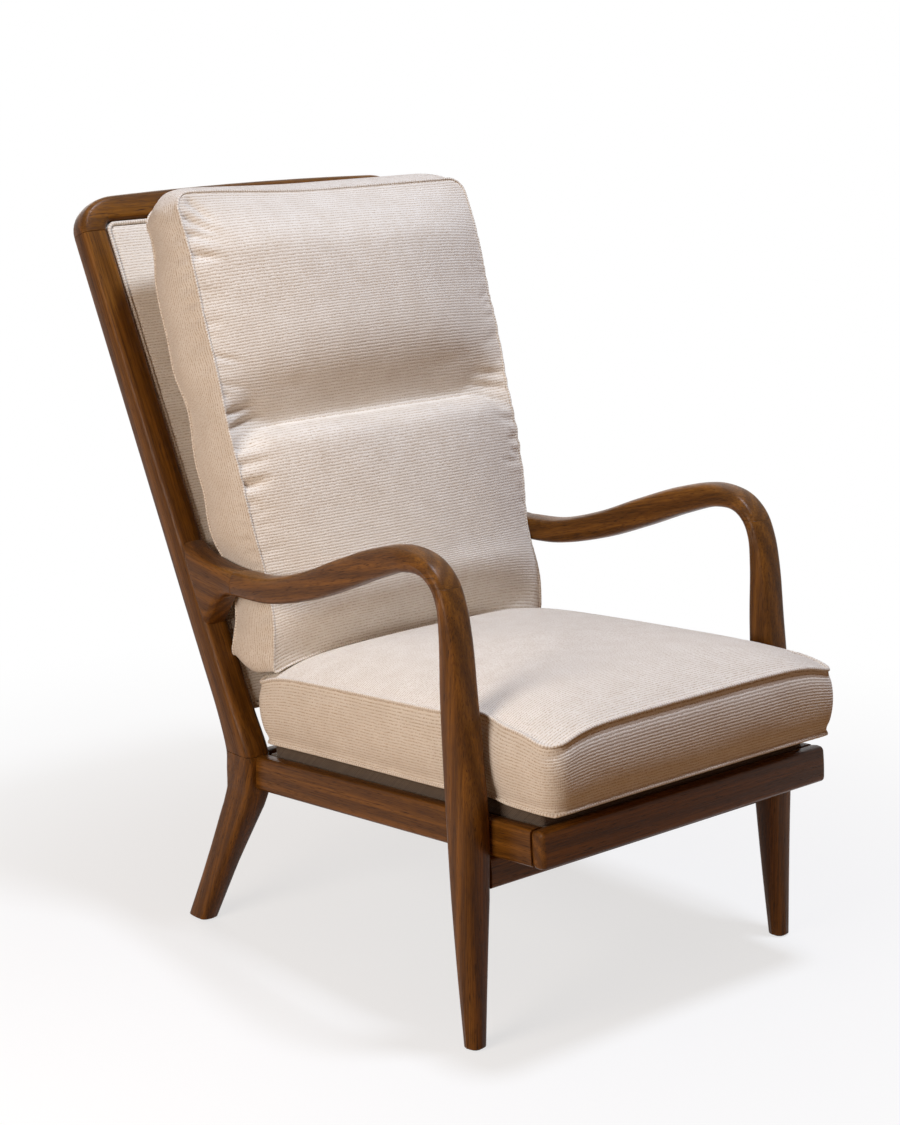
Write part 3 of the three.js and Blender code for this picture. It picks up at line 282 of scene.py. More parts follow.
# %% Members
def curve_through(points, per_span=10):
    """Between points 1 and 2, with the square roots of the distances between neighbours as knots, each end's
    slope is the mean of the chords' slopes, and a cubic joins them. The ends are continued straight."""
    p = np.asarray(points, float)
    p = np.vstack([2 * p[0] - p[1], p, 2 * p[-1] - p[-2]])
    gap = np.sqrt(np.linalg.norm(np.diff(p, axis=0), axis=1))[:, None]
    p0, p1, p2, p3 = p[:-3], p[1:-2], p[2:-1], p[3:]
    g0, g1, g2 = gap[:-2], gap[1:-1], gap[2:]
    m1 = ((p1 - p0) / g0 - (p2 - p0) / (g0 + g1) + (p2 - p1) / g1) * g1
    m2 = ((p2 - p1) / g1 - (p3 - p1) / (g1 + g2) + (p3 - p2) / g2) * g1
    t = np.linspace(0, 1, per_span, endpoint=False)[None, :, None]
    p1, p2, m1, m2 = (a[:, None, :] for a in (p1, p2, m1, m2))
    spans = p1 + m1 * t + (-3 * p1 + 3 * p2 - 2 * m1 - m2) * t**2 + (2 * p1 - 2 * p2 + m1 + m2) * t**3
    return np.vstack([spans.reshape(-1, p.shape[1]), p[-2]])


def section(width, depth, edge, dome=0.8):
    """Rectangles with round corners, one for each width and depth: four quarter circles, four points along
    each side between them, and a push outward of dome times 1 - s squared, where s runs from -1 to 1 along
    a side."""
    width, depth = np.broadcast_arrays(np.atleast_1d(width), np.atleast_1d(depth))
    edge = np.minimum(np.broadcast_to(edge, width.shape), np.minimum(width, depth) / 2 - 0.01)
    quarter = np.linspace(0, np.pi / 2, 7)
    s = np.linspace(-1, 1, 6)[1:-1]
    points = []
    for k, (sx, sy) in enumerate(((1, 1), (-1, 1), (-1, -1), (1, -1))):
        angle = quarter + k * np.pi / 2
        cx, cy = sx * (width / 2 - edge), sy * (depth / 2 - edge)
        points.append(np.stack([cx[:, None] + edge[:, None] * np.cos(angle),
                                cy[:, None] + edge[:, None] * np.sin(angle)], -1))
        way = np.array([(-1, 0), (0, -1), (1, 0), (0, 1)][k], float)
        out = np.array([(0, 1), (-1, 0), (0, -1), (1, 0)][k], float)
        half = ((width if k % 2 == 0 else depth) / 2 - edge)[:, None, None]
        level = np.abs((depth if k % 2 == 0 else width) / 2)[:, None, None]
        points.append(way * half * s[None, :, None] + out * (level + dome * (1 - s[None, :, None] ** 2)))
    return np.concatenate(points, 1)


def member_rings(front, rear, out, width, edge, per_span=10):
    """Each ring lies in the plane of X and the line from the front edge to the rear one, about their
    middle."""
    a, b = curve_through(front, per_span), curve_through(rear, per_span)
    rows = np.linspace(0, len(front) - 1, len(a))

    def spread(values):
        return np.interp(rows, np.arange(len(values)), values)

    across = b - a
    depth = np.linalg.norm(across, axis=1)
    across /= depth[:, None]
    outline = section(spread(width), depth, edge)
    middle = (a + b) / 2
    yz = middle[:, None, :] + across[:, None, :] * outline[..., 1:2]
    x = spread(out)[:, None] + outline[..., 0]
    return np.concatenate([x[..., None], yz], -1)


# %% [markdown]
# A member is made from its rings, cut where the real one is sawn to a joint, and finished: it gets its own
# grain and soft shading, and a bevel modifier eases just the sharp edges that the cuts leave.

# %% Grain, edges and cuts
def add_grain(piece, along, number):
    """The attribute grain: each point's place across the board, through it and along it, in metres, moved
    by an amount of the piece's own."""
    mesh = piece.data
    place = np.empty(len(mesh.vertices) * 3, np.float32)
    mesh.vertices.foreach_get("co", place)
    along = np.asarray(along, float) / np.linalg.norm(along)
    side = np.cross(along, (0, 0, 1) if abs(along[0]) > 0.9 else (1, 0, 0))
    side /= np.linalg.norm(side)
    axes = np.stack([np.cross(side, along), side, along])
    grain = place.reshape(-1, 3) @ axes.T + np.array([0.41, 0.29, 1.73]) * (number % 17 + 1)
    layer = mesh.attributes.new("grain", "FLOAT_VECTOR", "POINT")
    layer.data.foreach_set("vector", grain.astype(np.float32).ravel())


def board(name, rings):
    """A walnut mesh from its rings, not yet cut or finished."""
    return new_piece(name, rings, ring_faces(*rings.shape[:2]), walnut)


def finish_wood(piece, along, number, node):
    """Grain along the board, and a bevel 0.7 mm wide on each edge sharper than 50 degrees."""
    add_grain(piece, along, number)
    smooth(piece)
    ease = piece.modifiers.new("eased_edges", "BEVEL")
    ease.width, ease.segments, ease.limit_method, ease.angle_limit = 0.7 * MM, 2, "ANGLE", math.radians(50)
    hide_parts(node)


def cut_flat(piece, point, normal, ahead_of=None):
    """Cuts the mesh with a plane, drops the side the normal points away from, and closes the hole with one
    face. Only faces ahead of a place in y are cut, where one is given."""
    shape = bmesh.new()
    shape.from_mesh(piece.data)
    faces = [f for f in shape.faces if ahead_of is None or f.calc_center_median().y < ahead_of]
    edges = list({e for f in faces for e in f.edges})
    verts = list({v for f in faces for v in f.verts})
    bmesh.ops.bisect_plane(shape, geom=verts + edges + faces, plane_co=point, plane_no=normal,
                           clear_inner=True)
    bmesh.ops.holes_fill(shape, edges=[e for e in shape.edges if e.is_boundary])
    bmesh.ops.recalc_face_normals(shape, faces=shape.faces)
    shape.to_mesh(piece.data)
    shape.free()


# %% [markdown]
# ## Arms and front legs
# One line runs from the front foot up the leg, over a full knee and back along a serpentine arm. On the
# real chair it is sawn from two boards, jointed just under the knee, because grain that ran across the knee
# would snap. So one loft is made for each side and cut by a level plane, and each half gets grain along its
# own board.

# %% Arms and front legs
ARM_ROWS = np.array([  # the outer line's y and z and the inner line's, as shares of reach and height
    [-0.022, 0.0, 0.0255, 0.0], [-0.014, 0.155, 0.05, 0.155], [-0.008, 0.31, 0.071, 0.31],
    [-0.006, 0.45, 0.087, 0.45], [0.013, 0.589, 0.102, 0.593], [0.038, 0.729, 0.113, 0.733],
    [0.057, 0.837, 0.117, 0.842], [0.079, 0.907, 0.127, 0.903], [0.112, 0.957, 0.149, 0.935],
    [0.169, 0.99, 0.186, 0.953], [0.266, 1.0, 0.256, 0.951], [0.393, 0.976, 0.364, 0.921],
    [0.541, 0.93, 0.508, 0.871], [0.693, 0.878, 0.664, 0.822], [0.854, 0.839, 0.841, 0.784],
    [1.0, 0.828, 1.0, 0.774],
])
LEG_OUT, ARM_REAR_OUT = 287.5, 270.0  # centre plane to the middle of a leg, and of an arm at its rear end
KNEE_JOINT = 0.941 * ARM_HEIGHT
KNEE_REAR = 105 * MM  # the knee ends here, and the arm's underside passes lower behind it
SPAN = 10  # rings from one row to the next
LEG_LAST_ROW, ARM_FIRST_ROW, BEND_ROW = 10, 6, 10
arm_front = ARM_ROWS[:, :2] * (REACH, ARM_HEIGHT)
arm_rear = ARM_ROWS[:, 2:] * (REACH, ARM_HEIGHT)
arm_out = np.full(len(ARM_ROWS), LEG_OUT)
arm_out[:2] = LEG_OUT + 4.8, LEG_OUT + 2.4
arm_out[BEND_ROW:] = np.linspace(LEG_OUT, ARM_REAR_OUT, len(ARM_ROWS) - BEND_ROW)
arm_wide = np.full(len(ARM_ROWS), MEMBER)
arm_wide[:2] = 28, 35
arm_rings = member_rings(arm_front, arm_rear, arm_out, arm_wide, 11, SPAN)
SIDES = (("right", -1), ("left", 1))


def for_side(rings, sign):
    """The left side's rings as they are for 1, and mirrored in x for -1."""
    return rings * np.array([sign, 1, 1])


for name, sign in SIDES:
    rings = from_drawing(for_side(arm_rings, sign))
    leg = board("leg_front_" + name, rings[: LEG_LAST_ROW * SPAN + 1])
    cut_flat(leg, (0, 0, KNEE_JOINT * MM), (0, 0, -1))
    cut_flat(leg, (0, 0, GLIDE_TOP * MM), (0, 0, 1))
    finish_wood(leg, (0, 0, 1), 1 + sign, "front_leg_" + name)
    arm = board("armrest_" + name, rings[ARM_FIRST_ROW * SPAN :])
    cut_flat(arm, (0, 0, (KNEE_JOINT + GAP) * MM), (0, 0, 1), ahead_of=KNEE_REAR + SHIFT)
    finish_wood(arm, (0, 0.96, -0.27), 5 + sign, "arm_" + name)
print("arm loft:", arm_rings.shape)

# %% [markdown]
# ## Horns, posts and rear legs
# The arm meets the raked post through a block shaped like a horn: hollow on top, round underneath. Behind
# it the post and the rear leg are one line again, raked above the seat and kicked back below it, jointed at
# the seat. The same loft makes them, with rows of their own.

# %% Horns
def back_place(along, forward):
    """Up the rake by along and ahead of the post's rear face by forward, as y and z in the drawing."""
    return np.array([POST_HEEL - forward * math.cos(RAKE) + along * math.sin(RAKE),
                     POST_FOOT + forward * math.sin(RAKE) + along * math.cos(RAKE)])


POST_LONG, POST_DEEP, POST_TAPER = 777, 44, 8.5  # along the rake, its depth at the foot, the taper by the top
POST_OUT, POST_SPLAY = 259, 27.5  # centre plane to the post's middle at the foot, and its run out by the top


def post_depth(along):
    """The depth at the foot less the taper times the share of the post's length."""
    return POST_DEEP - POST_TAPER * along / POST_LONG


def post_out(along):
    """Centre plane to the post's middle: its place at the foot plus the splay times the same share."""
    return POST_OUT + POST_SPLAY * along / POST_LONG


def post_face(height):
    """How far up the rake the post's tapering front face reaches a height."""
    lean = math.cos(RAKE) - POST_TAPER / POST_LONG * math.sin(RAKE)
    return (height - POST_FOOT - POST_DEEP * math.sin(RAKE)) / lean


# Shares of the way from the arm's end to the post, back and up, of the top line and of the lower line
HORN_ROWS = np.array([[0.0, 0.0, 0.0, 0.0], [0.22, 0.03, 0.22, 0.02], [0.45, 0.13, 0.42, 0.12],
                      [0.68, 0.34, 0.6, 0.32], [0.86, 0.64, 0.78, 0.62], [1.0, 1.0, 1.0, 1.0]])
HORN_RISE, HORN_DROP = 21, 56  # the top line's end over its start, and the lower line's end under its own
top_start = np.array([REACH + GAP, ARM_ROWS[-1, 1] * ARM_HEIGHT])
low_start = np.array([REACH + GAP, ARM_ROWS[-1, 3] * ARM_HEIGHT])
horn_top, horn_foot = post_face(top_start[1] + HORN_RISE), post_face(low_start[1] - HORN_DROP)
top_end = back_place(horn_top, post_depth(horn_top) + GAP)
low_end = back_place(horn_foot, post_depth(horn_foot) + GAP)
horn_middle = post_out((horn_top + horn_foot) / 2)
horn_rings = member_rings(
    top_start + HORN_ROWS[:, :2] * (top_end - top_start),
    low_start + HORN_ROWS[:, 2:] * (low_end - low_start),
    np.linspace(ARM_REAR_OUT, horn_middle, len(HORN_ROWS)), np.full(len(HORN_ROWS), MEMBER), 10,
)
for name, sign in SIDES:
    horn = board("horn_" + name, from_drawing(for_side(horn_rings, sign)))
    finish_wood(horn, (0, 1, 0.12), 9 + sign, "arm_block_" + name)
print("horn from", top_start.round(), "to", top_end.round())

# %% Posts and rear legs
LEG_FACE, FOOT_FACE = 508, 579.5  # the rear leg's front face from the front feet, at the seat and the floor
LEG_DEEP, FOOT_DEEP, FOOT_WIDE, FOOT_SPLAY = 58, 41, 29, 41.5
UPRIGHT_SPAN = 8  # rings from one row to the next
leg_rows = np.array([0, 0.36, 0.7, 0.79, 0.9, 1]) * POST_FOOT
kick = np.array([1, 0.53, 0.06, 0, 0, 0])
depth = FOOT_DEEP + (LEG_DEEP - FOOT_DEEP) * np.array([0, 0.22, 0.93, 1, 1, 1])
splay = np.array([1, 0.6, 0.13, 0, 0, 0])
face_y = LEG_FACE + (FOOT_FACE - LEG_FACE) * kick
post_rows = np.array([0.075, 0.2, 0.45, 0.72, 1]) * POST_LONG
post_front = np.array([back_place(a, post_depth(a)) for a in post_rows])
post_rear = np.array([back_place(a, 0) for a in post_rows])
upright_rings = member_rings(
    np.vstack([np.stack([face_y, leg_rows], -1), post_front]),
    np.vstack([np.stack([face_y + depth, leg_rows], -1), post_rear]),
    np.concatenate([POST_OUT + FOOT_SPLAY * splay, post_out(post_rows)]),
    np.concatenate([MEMBER - (MEMBER - FOOT_WIDE) * splay, np.full(len(post_rows), MEMBER)]),
    9, UPRIGHT_SPAN,
)
leg_last, post_first = 7 * UPRIGHT_SPAN, 4 * UPRIGHT_SPAN + 4  # both run past the joint, where they are cut
for name, sign in SIDES:
    rings = from_drawing(for_side(upright_rings, sign))
    leg = board("leg_rear_" + name, rings[: leg_last + 1])
    cut_flat(leg, (0, 0, POST_FOOT * MM), (0, 0, -1))
    cut_flat(leg, (0, 0, GLIDE_TOP * MM), (0, 0, 1))
    finish_wood(leg, (sign * 0.12, 0.2, -0.97), 11 + sign, "rear_leg_" + name)
    post = board("post_" + name, rings[post_first:])
    cut_flat(post, (0, 0, (POST_FOOT + GAP) * MM), (0, 0, 1))
    finish_wood(post, (sign * 0.03, 0.41, 0.91), 14 + sign, "back_post_" + name)
print("upright loft:", upright_rings.shape)

# %% [markdown]
# ## Crest rail
# The crest is a bar that turns down onto the posts through full round corners. Its section is carried along
# in the plane of the back, so the rings come from pairs again: a point on the outer line and one on the
# inner line.

# %% Crest rail
CREST_TOP, CREST_TALL, CREST_DEEP = 830, 38, 35.5  # up the rake to its upper edge, its height and depth
CREST_RISE = 4  # how much its upper edge is arched
CREST_JOINT = POST_LONG + GAP
CORNER_WIDE, CORNER_TALL, INNER_CORNER = 68, 52, 14.7
outer = POST_OUT + POST_SPLAY + MEMBER / 2
inner = outer - MEMBER
angle = np.linspace(0, np.pi / 2, 13)
corner = np.stack([outer - CORNER_WIDE * (1 - np.cos(angle)), CREST_TOP - CORNER_TALL * (1 - np.sin(angle)),
                   inner - INNER_CORNER * (1 - np.cos(angle)), CREST_JOINT + INNER_CORNER * np.sin(angle)],
                  -1)
share = np.linspace(1, 0, 17)[1:]
bar = np.stack([(outer - CORNER_WIDE) * share, CREST_TOP + CREST_RISE * (1 - share**2),
                (inner - INNER_CORNER) * share, np.full(len(share), float(CREST_TOP - CREST_TALL))], -1)
half = np.vstack([[outer, CREST_JOINT, inner, CREST_JOINT], corner[1:], bar])
pairs = np.vstack([half, (half[:-1] * [-1, 1, -1, 1])[::-1]])
across = pairs[:, 2:] - pairs[:, :2]
tall = np.linalg.norm(across, axis=1)
across /= tall[:, None]
outline = section(CREST_DEEP, tall, 9)
middle = (pairs[:, :2] + pairs[:, 2:]) / 2
xz = middle[:, None, :] + across[:, None, :] * outline[..., 1:2]
crest_rings = from_back(np.stack([xz[..., 0], outline[..., 0] - CREST_DEEP / 2, xz[..., 1]], -1))
finish_wood(board("crest", crest_rings), (1, 0, 0), 7, "crest_rail")
print("crest rings:", crest_rings.shape)

# %% [markdown]
# ## Seat rails
# Four rails and a lower front stretcher carry the deck. They are straight bars, so a loft needs only two
# rings, with a few more at the front rail's ends where its corners are rounded over. They are drawn in the
# seat's own level frame and then tipped with it.

# %% Seat rails
RAIL_TALL, RAIL_THICK, FRONT_THICK, RAIL_EDGE = 50, 24, 23, 6
STRETCHER_TALL, STRETCHER_THICK = 43.7, 25
FRONT_HALF, REAR_HALF = 266.2, 237.7  # half lengths
SIDE_OUT = 254.2  # centre plane to a side rail's middle
REAR_SET = 12  # the rear leg's front face back to the rear rail


def bar_rings(ends, width, height, edge=RAIL_EDGE, round_over=0.0):
    """Rings of one section between two ends along a line, drawn in and in towards each rounded end: at the
    angle a of a quarter circle the section is smaller by the radius times 1 - sin a, and moved in by that
    times 1 - cos a."""
    low, high = ends
    steps = np.linspace(0, np.pi / 2, 5) if round_over else np.array([np.pi / 2])
    inset = round_over * (1 - np.sin(steps))
    place = low + round_over * (1 - np.cos(steps))
    inset = np.concatenate([inset, inset[::-1]])
    place = np.concatenate([place, (low + high) - place[::-1]])
    outline = section(width - 2 * inset, height - 2 * inset, edge, dome=0.5)
    return np.broadcast_to(place[:, None], outline.shape[:2]), outline[..., 0], outline[..., 1]


def along_at(reach, up):
    """How far back along the seat an upright plane lies, at a height over the rails' underside."""
    return (reach - RAIL_FACE - up * math.sin(PITCH)) / math.cos(PITCH)


def cross_rail(name, half, thick, tall, back_at, foot, number, node, **more):
    """A rail from side to side, with its middle a way back along the seat and its underside at a height."""
    x, back, up = bar_rings((-half, half), thick, tall, **more)
    rings = from_seat(np.stack([x, back + back_at, up + (foot + tall / 2)], -1))
    finish_wood(board(name, rings), (1, 0, 0), number, node)


rear_back = along_at(LEG_FACE + REAR_SET, RAIL_TALL / 2) + RAIL_THICK / 2
cross_rail("rail_front", FRONT_HALF, FRONT_THICK, RAIL_TALL, FRONT_THICK / 2, 0, 3, "front_rail",
           round_over=RAIL_EDGE)
cross_rail("stretcher_front", FRONT_HALF, STRETCHER_THICK, STRETCHER_TALL, along_at(0.023 * REACH, -22),
           -GAP - STRETCHER_TALL, 8, "front_stretcher")
cross_rail("rail_rear", REAR_HALF, RAIL_THICK, RAIL_TALL, rear_back, 0, 10, "rear_rail")
for name, sign in SIDES:
    back, x, up = bar_rings((FRONT_THICK + GAP, 600.0), RAIL_THICK, RAIL_TALL)
    up = up + RAIL_TALL / 2
    back = np.where(back > 300, along_at(LEG_FACE - GAP, up), back)  # the rear end is cut upright, on the leg
    rail = board("rail_side_" + name, from_seat(np.stack([x + sign * SIDE_OUT, back, up], -1)))
    finish_wood(rail, (0, math.cos(PITCH), -math.sin(PITCH)), 12 + sign, "side_rail_" + name)
print("rails done, rear rail", round(float(rear_back), 1), "mm back")

# %% [markdown]
# ## Ribbed upholstery cloth
# The covers are a heavy oatmeal cloth with a horizontal rib 4.2 mm apart, which is a thick weft yarn over a
# thin warp. The ribs follow each panel as it was cut, so this pattern reads the piece's own UV map, named
# weave, laid out in metres: u runs along the ribs and v across them. A wave makes the ribs, and a finer one
# across it the warp. The grooves between ribs are painted darker, as painted shade. Noises make the yarns
# uneven and the tone patchy, and a little sheen stands for the nap.

# %% Cloth
def cloth_material(name, light, shade, rib=0.0042, relief=0.0004):
    """A ribbed weave. Painted shade lies in the grooves between ribs, in the shade colour, broken up by the
    yarns' noise. The same colour lies thinly in patches about 30 mm across, a tone that differs at random."""
    cloth, shader = new_material(name, light, 0.92)
    weave = add(cloth, "ShaderNodeUVMap", {"uv_map": "weave"}).outputs["UV"]
    wander = add(cloth, "ShaderNodeTexNoise", Vector=weave, Scale=110.0, Detail=2.0)
    place = add(cloth, "ShaderNodeVectorMath", MULTIPLY_ADD, i0=wander.outputs["Color"],
                i1=(0.0, 0.0022, 0.0), i2=weave)
    ribs = add(cloth, "ShaderNodeTexWave", {"wave_type": "BANDS", "bands_direction": "Y"},
               Vector=place.outputs[0], Scale=WAVE / rib)
    fine = add(cloth, "ShaderNodeTexWave", {"wave_type": "BANDS", "bands_direction": "X"},
               Vector=weave, Scale=WAVE / 0.0022, Distortion=3.0, Detail=2.0, Detail_Scale=2.0)
    stretched = add(cloth, "ShaderNodeMapping", Vector=weave, Scale=(560, 480, 1))
    yarns = add(cloth, "ShaderNodeTexNoise", Vector=stretched.outputs[0], Scale=1.0, Detail=2.0)
    patches = add(cloth, "ShaderNodeTexNoise", Vector=weave, Scale=30.0, Detail=4.0)
    # Painted shade: the grooves between ribs are darkened towards the shade colour, where the yarns' noise
    # allows
    groove = add(cloth, "ShaderNodeMapRange", Value=ribs.outputs["Fac"], From_Min=0.05, From_Max=0.55,
                 To_Min=1.0, To_Max=0.0)
    slub = add(cloth, "ShaderNodeMapRange", Value=yarns.outputs["Fac"], From_Min=0.38, From_Max=0.62)
    mark = add(cloth, "ShaderNodeMath", MULTIPLY, i0=groove.outputs[0], i1=slub.outputs[0])
    soft = add(cloth, "ShaderNodeMath", MULTIPLY, i0=mark.outputs[0], i1=0.95)
    tone = add(cloth, "ShaderNodeMix", MIX_COLOUR, i0=soft.outputs[0], i6=linear(light), i7=linear(shade))
    # The patches are a tone of the cloth that differs at random, in the same darker colour
    patch = add(cloth, "ShaderNodeMapRange", Value=patches.outputs["Fac"], From_Min=0.35, From_Max=0.7,
                To_Min=0.0, To_Max=0.16)
    mottled = add(cloth, "ShaderNodeMix", MIX_COLOUR, i0=patch.outputs[0], i6=tone.outputs[2],
                  i7=linear(shade))
    plug(cloth, mottled.outputs[2], shader.inputs["Base Color"])
    height = add(cloth, "ShaderNodeMath", MULTIPLY_ADD, i0=fine.outputs["Fac"], i1=0.25,
                 i2=ribs.outputs["Fac"])
    uneven = add(cloth, "ShaderNodeMath", MULTIPLY_ADD, i0=slub.outputs[0], i1=0.5, i2=height.outputs[0])
    bump = add(cloth, "ShaderNodeBump", Strength=0.8, Distance=relief, Height=uneven.outputs[0])
    plug(cloth, bump.outputs[0], shader.inputs["Normal"])
    shader.inputs["Sheen Weight"].default_value = 0.25
    shader.inputs["Sheen Roughness"].default_value = 0.5
    shader.inputs["Specular IOR Level"].default_value = 0.2
    return cloth


oatmeal = cloth_material("oatmeal_ribbed_weave", "#ebe4d9", "#b39d82")
# The deck and the dust cloth are a plain taupe platform cloth, woven finer than the covers.
# Part of its dark tone is painted shade, for the shade under the seat cushion
platform = cloth_material("taupe_platform_cloth", "#64574a", "#42382f", rib=0.003, relief=0.0003)
print(oatmeal.name, len(oatmeal.node_tree.nodes), "nodes")

# %% [markdown]
# ## Cloth coordinates and cords
# A UV map is stored on face corners. Each new cloth piece is given u and v for its points in metres, and
# numpy copies them to the corners through the list of which point each corner uses. Where a surface closes
# on itself, such as a cord, the last column of faces needs its own values, or the pattern would run back
# across it. A welt is a cord in a sleeve of the same cloth, sewn into a seam. It is a circle carried along
# the seam.

# %% Helpers for cloth
def set_weave(piece, corner_uv):
    """Fills the UV map named weave from an array of u and v for every face corner."""
    layer = piece.data.uv_layers.new(name="weave")
    layer.data.foreach_set("uv", np.asarray(corner_uv, np.float32).ravel())


def corner_points(piece):
    """For every face corner, the number of the point it uses."""
    corners = np.empty(len(piece.data.loops), np.int32)
    piece.data.loops.foreach_get("vertex_index", corners)
    return corners


def length_along(path):
    """Distance from the start to each point of a path."""
    steps = np.linalg.norm(np.diff(path, axis=0), axis=1)
    return np.concatenate([[0], np.cumsum(steps)])


STITCH = 0.011  # metres from one swelling of a welt's sleeve to the next


def cloth_piece(name, points, faces, cloth=None):
    """A piece of upholstery, in the oatmeal cloth where no other is given."""
    return new_piece(name, points, faces, cloth or oatmeal)


def tube(name, path, radius, around=10, wave=0.0, outward=None):
    """A cord along a closed path: on each point a circle across the path, whose radius may swell and shrink
    by a small wave, as a sewn sleeve does between its stitches."""
    path = np.asarray(path, float)
    run = np.roll(path, -1, 0) - np.roll(path, 1, 0)
    run /= np.linalg.norm(run, axis=1)[:, None]
    out = path - path.mean(0) if outward is None else outward
    out = out - (out * run).sum(1)[:, None] * run
    out /= np.linalg.norm(out, axis=1)[:, None]
    side = np.cross(run, out)
    angle = np.arange(around) / around * 2 * np.pi
    far = length_along(np.vstack([path, path[:1]]))
    thick = radius * (1 + wave * np.sin(far[:-1] / STITCH * 2 * np.pi))
    rings = path[:, None] + thick[:, None, None] * (
        np.cos(angle)[None, :, None] * out[:, None] + np.sin(angle)[None, :, None] * side[:, None])
    piece = cloth_piece(name, rings, ring_faces(len(path), around, True))
    points = corner_points(piece)
    face = np.arange(len(points)) // 4
    ring, spot = face // around, face % around
    ring, spot = ring + (points // around != ring), spot + (points % around != spot)
    set_weave(piece, np.stack([spot / around * 2 * np.pi * radius, far[ring]], -1))
    piece.data.shade_smooth()
    return piece


# %% [markdown]
# ## An outline with round corners
# The panel and the deck are both stacks of outlines, each drawn in from the last. One function makes such an
# outline with the same number of points every time, so that neighbours can be joined point by point.

# %% Rounded outline
def rounded_outline(corners, radius, counts, steps):
    """Quarter circles in four corners, each given as [x, y, 1 or -1 across, 1 or -1 up] and starting with the
    one where both are 1, and evenly spaced points on the sides between them, one fewer than the counts."""
    quarter = np.linspace(0, np.pi / 2, steps + 1)
    rounds = [np.stack([x - sx * radius + radius * np.cos(quarter + k * np.pi / 2),
                        y - sy * radius + radius * np.sin(quarter + k * np.pi / 2)], -1)
              for k, (x, y, sx, sy) in enumerate(corners)]
    parts = []
    for k, count in enumerate(counts):
        start, end = rounds[k][-1], rounds[(k + 1) % 4][0]
        share = np.linspace(0, 1, count + 1)[1:-1, None]
        parts += [rounds[k], start + (end - start) * share]
    return np.vstack(parts)


# %% [markdown]
# ## Upholstered back panel
# A thin padded panel fills the space between the posts. Its edge is stepped in to take a welt all round,
# and its face is slightly crowned. The outline is a rounded trapezium, and each ring of the pad is that
# outline drawn in and brought forward, so the face closes on its middle without a pole of thin triangles at
# the edge.

# %% Back panel
PANEL_TOP, PANEL_FOOT, PANEL_CORNER = 790.0, 50.0, 15.5
PANEL_EDGE_GAP = 2  # the cloth's edge to the posts
PANEL_MIDDLE = 236  # drawn in by this much, an outline has shrunk to a slit
PAD_REAR, COVER_REAR = -21.4, -7  # the pad's rear face and the rear cover's front, from the posts' rear line
FOLD = 50  # degrees between two faces past which cloth shows an edge


def panel_ring(inset, back):
    """The trapezium between the posts' inner faces, drawn in, at a place back from the posts' rear line."""
    top, low = PANEL_TOP - inset, PANEL_FOOT + inset
    edge = MEMBER / 2 + PANEL_EDGE_GAP + inset
    half_top, half_low = post_out(top) - edge, post_out(low) - edge
    corners = [(half_top, top, 1, 1), (-half_top, top, -1, 1),
               (-half_low, low, -1, -1), (half_low, low, 1, -1)]
    flat = rounded_outline(corners, max(PANEL_CORNER - inset, 3.0), (40, 56, 40, 56), 8)
    return np.stack([flat[:, 0], np.full(len(flat), back), flat[:, 1]], -1)


def panel_cloth(name, insets, backs):
    """A closed stack of outlines, with the cloth's u and v read off the panel's own plane."""
    rings = from_back(np.stack([panel_ring(i, b) for i, b in zip(insets, backs)]))
    piece = cloth_piece(name, rings, ring_faces(*rings.shape[:2]))
    flat = np.stack([panel_ring(i, 0)[:, [0, 2]] for i in insets]).reshape(-1, 2) * MM
    set_weave(piece, flat[corner_points(piece)])
    smooth(piece, FOLD)
    return piece


# The edge rises 4.5 mm, steps in by 7 for the welt, turns over, and the face then swells by 4.4 to its middle
face_insets = np.linspace(16, PANEL_MIDDLE, 23)
insets = np.concatenate([[0, 0, 4, 7, 7, 8.5, 11], face_insets])
swell = 1 - (1 - (face_insets - 16) / (PANEL_MIDDLE - 16)) ** 3
fronts = np.concatenate([[0, 4.5, 4.5, 4.5, 7.2, 8.4, 9.2], 9.6 + 4.4 * swell])
pad = panel_cloth("pad_back", insets, PAD_REAR - fronts)
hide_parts("back_pad")
print("pad points:", len(pad.data.vertices))

# %% [markdown]
# The welt lies in the step. Behind the pad the cloth is turned round the frame's edge, as a band 1 mm thick
# that ends at the rear cover.

# %% Panel welt and edge band
welt = tube("welt_back", from_back(panel_ring(2.7, PAD_REAR - 7.8)), 3.2 * MM, wave=0.03)
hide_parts("back_welt")
band_section = ((-0.6, -21.3), (-0.6, -7.1), (0.4, -7.1), (0.4, -21.3))  # how far in, and how far back
band_rings = np.stack([panel_ring(i, b) for i, b in band_section], 1)
band = cloth_piece("band_back", from_back(band_rings), ring_faces(len(band_rings), 4, True))
far = length_along(np.vstack([band_rings[:, 0], band_rings[:1, 0]])) * MM
face = np.arange(len(band.data.loops)) // 4
ring = face // 4 + (corner_points(band) // 4 != face // 4)
set_weave(band, np.stack([far[ring], band_rings[..., 1].ravel()[corner_points(band)] * MM], -1))
smooth(band, FOLD)
print("band points:", len(band.data.vertices))

# %% [markdown]
# The back of the panel is the same cloth, stretched over a thin board and blind-tacked at its edge, with a
# narrow welt round it. It is a stack of rings 3 mm thick, with its outer edge rounded over.

# %% Rear cover
insets = np.concatenate([[0, 0, 2.0, 5], np.linspace(12, PANEL_MIDDLE, 19)])
backs = np.concatenate([[COVER_REAR, -5.4, -4.4, -4.0], np.full(19, -4.0)])
rear_cover = panel_cloth("cover_rear", insets, backs)
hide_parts("back_rear_cover")
tube("welt_rear", from_back(panel_ring(4.0, -3.6)), 1.8 * MM, around=8)
print("rear cover points:", len(rear_cover.data.vertices))

# %% [markdown]
# ## Deck
# Under the seat cushion lies a drop-in deck: cloth over webbing on a wooden frame. Only its edge shows,
# between the cushion and the rails. The cloth turns over the frame with a small radius, and sinks a little
# between the bars where a sitter has stretched the webs.

# %% Deck
DECK_SIZE = (22.0, along_at(LEG_FACE - 18, RAIL_TALL), 244.2)  # front edge, rear edge and half the width


